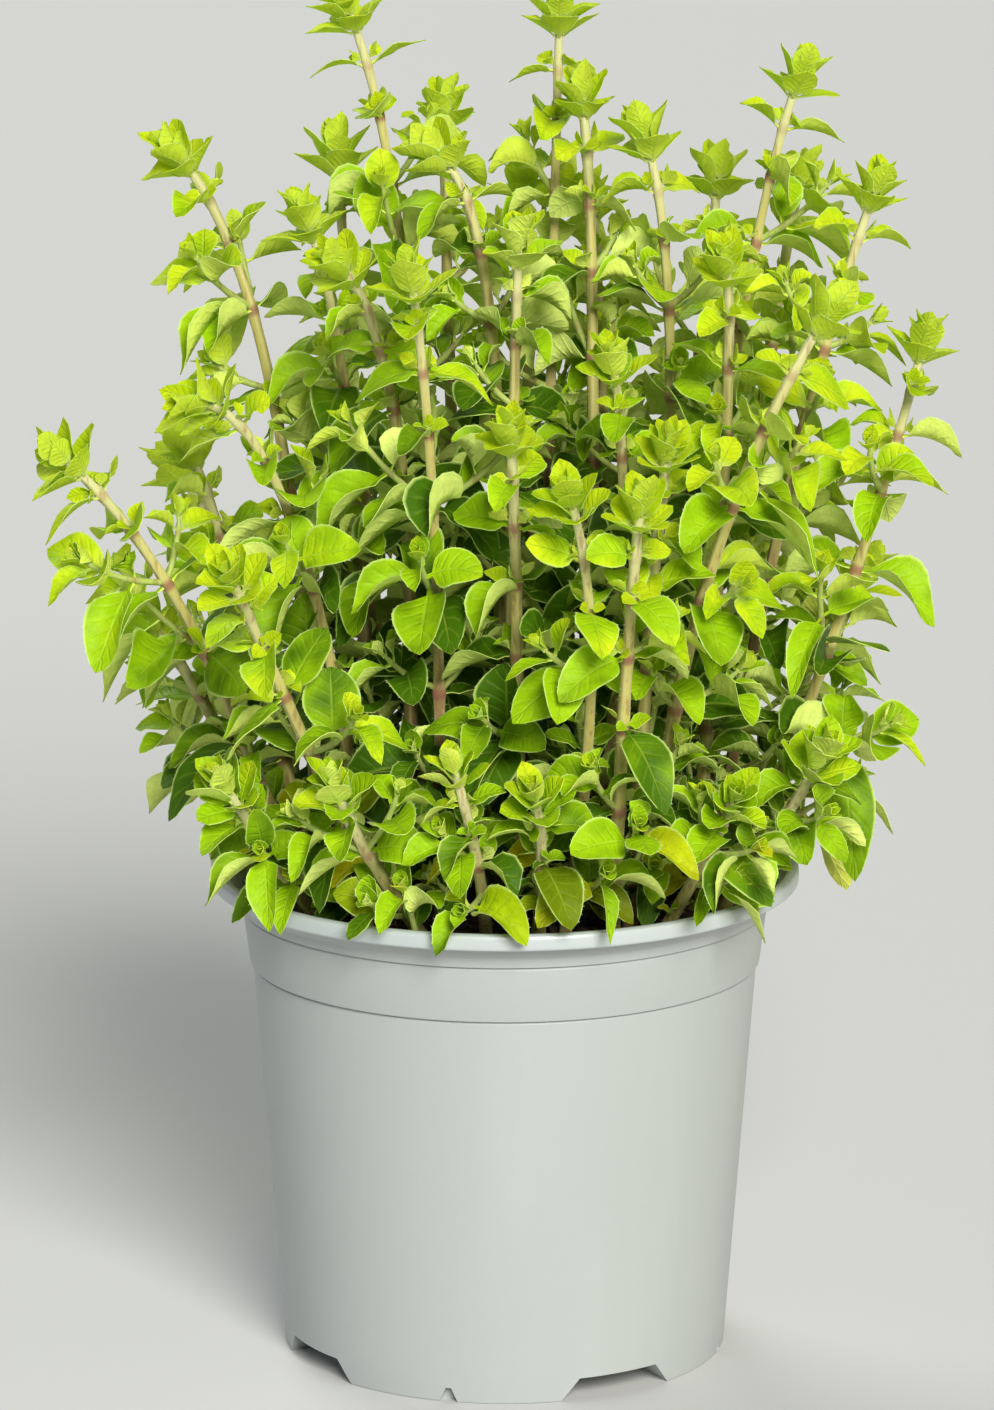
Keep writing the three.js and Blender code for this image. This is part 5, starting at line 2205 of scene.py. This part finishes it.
@dataclass
class Studio:
    """The camera, a pale floor and soft light."""

    distance: float = 1.400
    height: float = 0.460
    pitch: float = 12.734
    lens: float = 168.0
    shift: float = -0.0055
    floor_half: float = 6.0
    floor_finish: PlainFinish = PlainFinish("pale_floor", (0.61, 0.61, 0.605), 0.7)
    surround: Triple = (0.80, 0.91, 1.0)
    surround_strength: float = 0.17
    lamps: tuple[Lamp, ...] = (
        Lamp("key", (0.28, -1.0, 0.60), 4.1, 26.0, (1.0, 0.985, 0.93)),
        Lamp("side", (1.0, -0.3, 0.35), 0.24, 40.0, (1.0, 0.85, 0.1)),
        Lamp("fill", (-1.0, -0.4, 0.25), 0.12, 40.0, (0.55, 0.75, 1.0)),
        Lamp("back", (-0.35, 0.8, 0.75), 1.2, 30.0, (1.0, 1.0, 0.96)),
    )

    def build(self) -> None:
        """Sets up camera, floor, world and lamps."""
        self._camera()
        self._floor()
        self._world()
        for lamp in self.lamps:
            lamp.place()
        bpy.context.scene.view_settings.view_transform = "Standard"

    def _camera(self) -> None:
        """The camera, level with the leaves and looking down a little."""
        data = bpy.data.cameras.new("camera")
        data.lens = self.lens
        data.shift_x = self.shift
        data.clip_end = 50
        camera = object_of(data)
        camera.location = (AXIS[0] * MM, AXIS[1] * MM - self.distance, self.height)
        camera.rotation_euler = (math.radians(90 - self.pitch), 0, 0)
        bpy.context.scene.camera = camera

    def _floor(self) -> None:
        """The floor that the pot stands on."""
        made = bmesh.new()
        bmesh.ops.create_grid(made, x_segments=1, y_segments=1, size=self.floor_half)
        floor = object_of(mesh_from("floor", made))
        floor.data.materials.append(self.floor_finish.make())

    def _world(self) -> None:
        """An even pale surround."""
        world = bpy.data.worlds.new("surround")
        world.use_nodes = True
        background = world.node_tree.nodes["Background"]
        background.inputs["Color"].default_value = (*self.surround, 1.0)
        background.inputs["Strength"].default_value = self.surround_strength
        bpy.context.scene.world = world

# ---- Putting it together ----


class Slot(Enum):
    """The record's material slots."""

    POT = "pot_plastic"
    MIX = "potting_mix"
    LEAVES = "foliage"
    STALK = "stalk"


def hand_in(mesh: Mesh, node: str, material: Material) -> None:
    """Puts a finished piece into the scene, dresses it, hangs it under the body, hides the solid that it
    replaces and logs its triangles.

    Args:
        mesh: The piece's mesh, with the piece's name.
        node: The solid that it replaces.
        material: Its finish.
    """
    thing = object_of(mesh)
    mesh.materials.append(material)
    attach(thing, BODY)
    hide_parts(node)
    faces = sum(len(face.vertices) - 2 for face in mesh.polygons)
    log.info("%s: %d triangles", thing.name, faces)


def main() -> None:
    """Builds the studio, the pot, the mix and the plant, and hands each piece in."""
    logging.basicConfig(level=logging.INFO, format="%(message)s")
    Studio().build()
    hand_in(Pot().build(), "pot", PotPlastic().make())
    hand_in(PottingMix().build(), "potting_mix", MixFinish().make())
    plant = Oregano()
    plant.lay_out()
    growth = SideGrowth(plant)
    growth.lay_out()
    grow_meshes(growth)


def grow_meshes(growth: SideGrowth) -> None:
    """Makes and hands in the stalk, the leaves and the hairs of each shoot.

    Args:
        growth: The plant with all its side growth.
    """
    foliage, stalks, hairs = Foliage(), Stalks(), Hairs()
    leaf_skin, stalk_skin, pale_hair = LeafFinish().make(), StalkFinish().make(), hairs.finish.make()
    shoots = growth.plant.shoots
    grown = [growth.leaves_of(shoot) for shoot in shoots]
    foliage.untangle([leaf for leaves in grown for leaf in leaves])
    for number, (shoot, leaves) in enumerate(zip(shoots, grown), 1):
        for leaf in leaves:
            foliage.ease(leaf, growth.plant)
        own, node, sprigs = f"{number:02d}", f"shoot_{number:02d}", growth.sprigs[shoot.owner]
        hand_in(stalks.mesh(f"stalk_{own}", shoot, sprigs), node, stalk_skin)
        hand_in(foliage.mesh(f"leaves_{own}", leaves), node, leaf_skin)
        hand_in(hairs.mesh(f"hairs_{own}", shoot, leaves, foliage), node, pale_hair)
        log.info("%s has %d sprigs and %d leaves", node, len(sprigs), len(leaves))


if __name__ == "__main__":
    main()
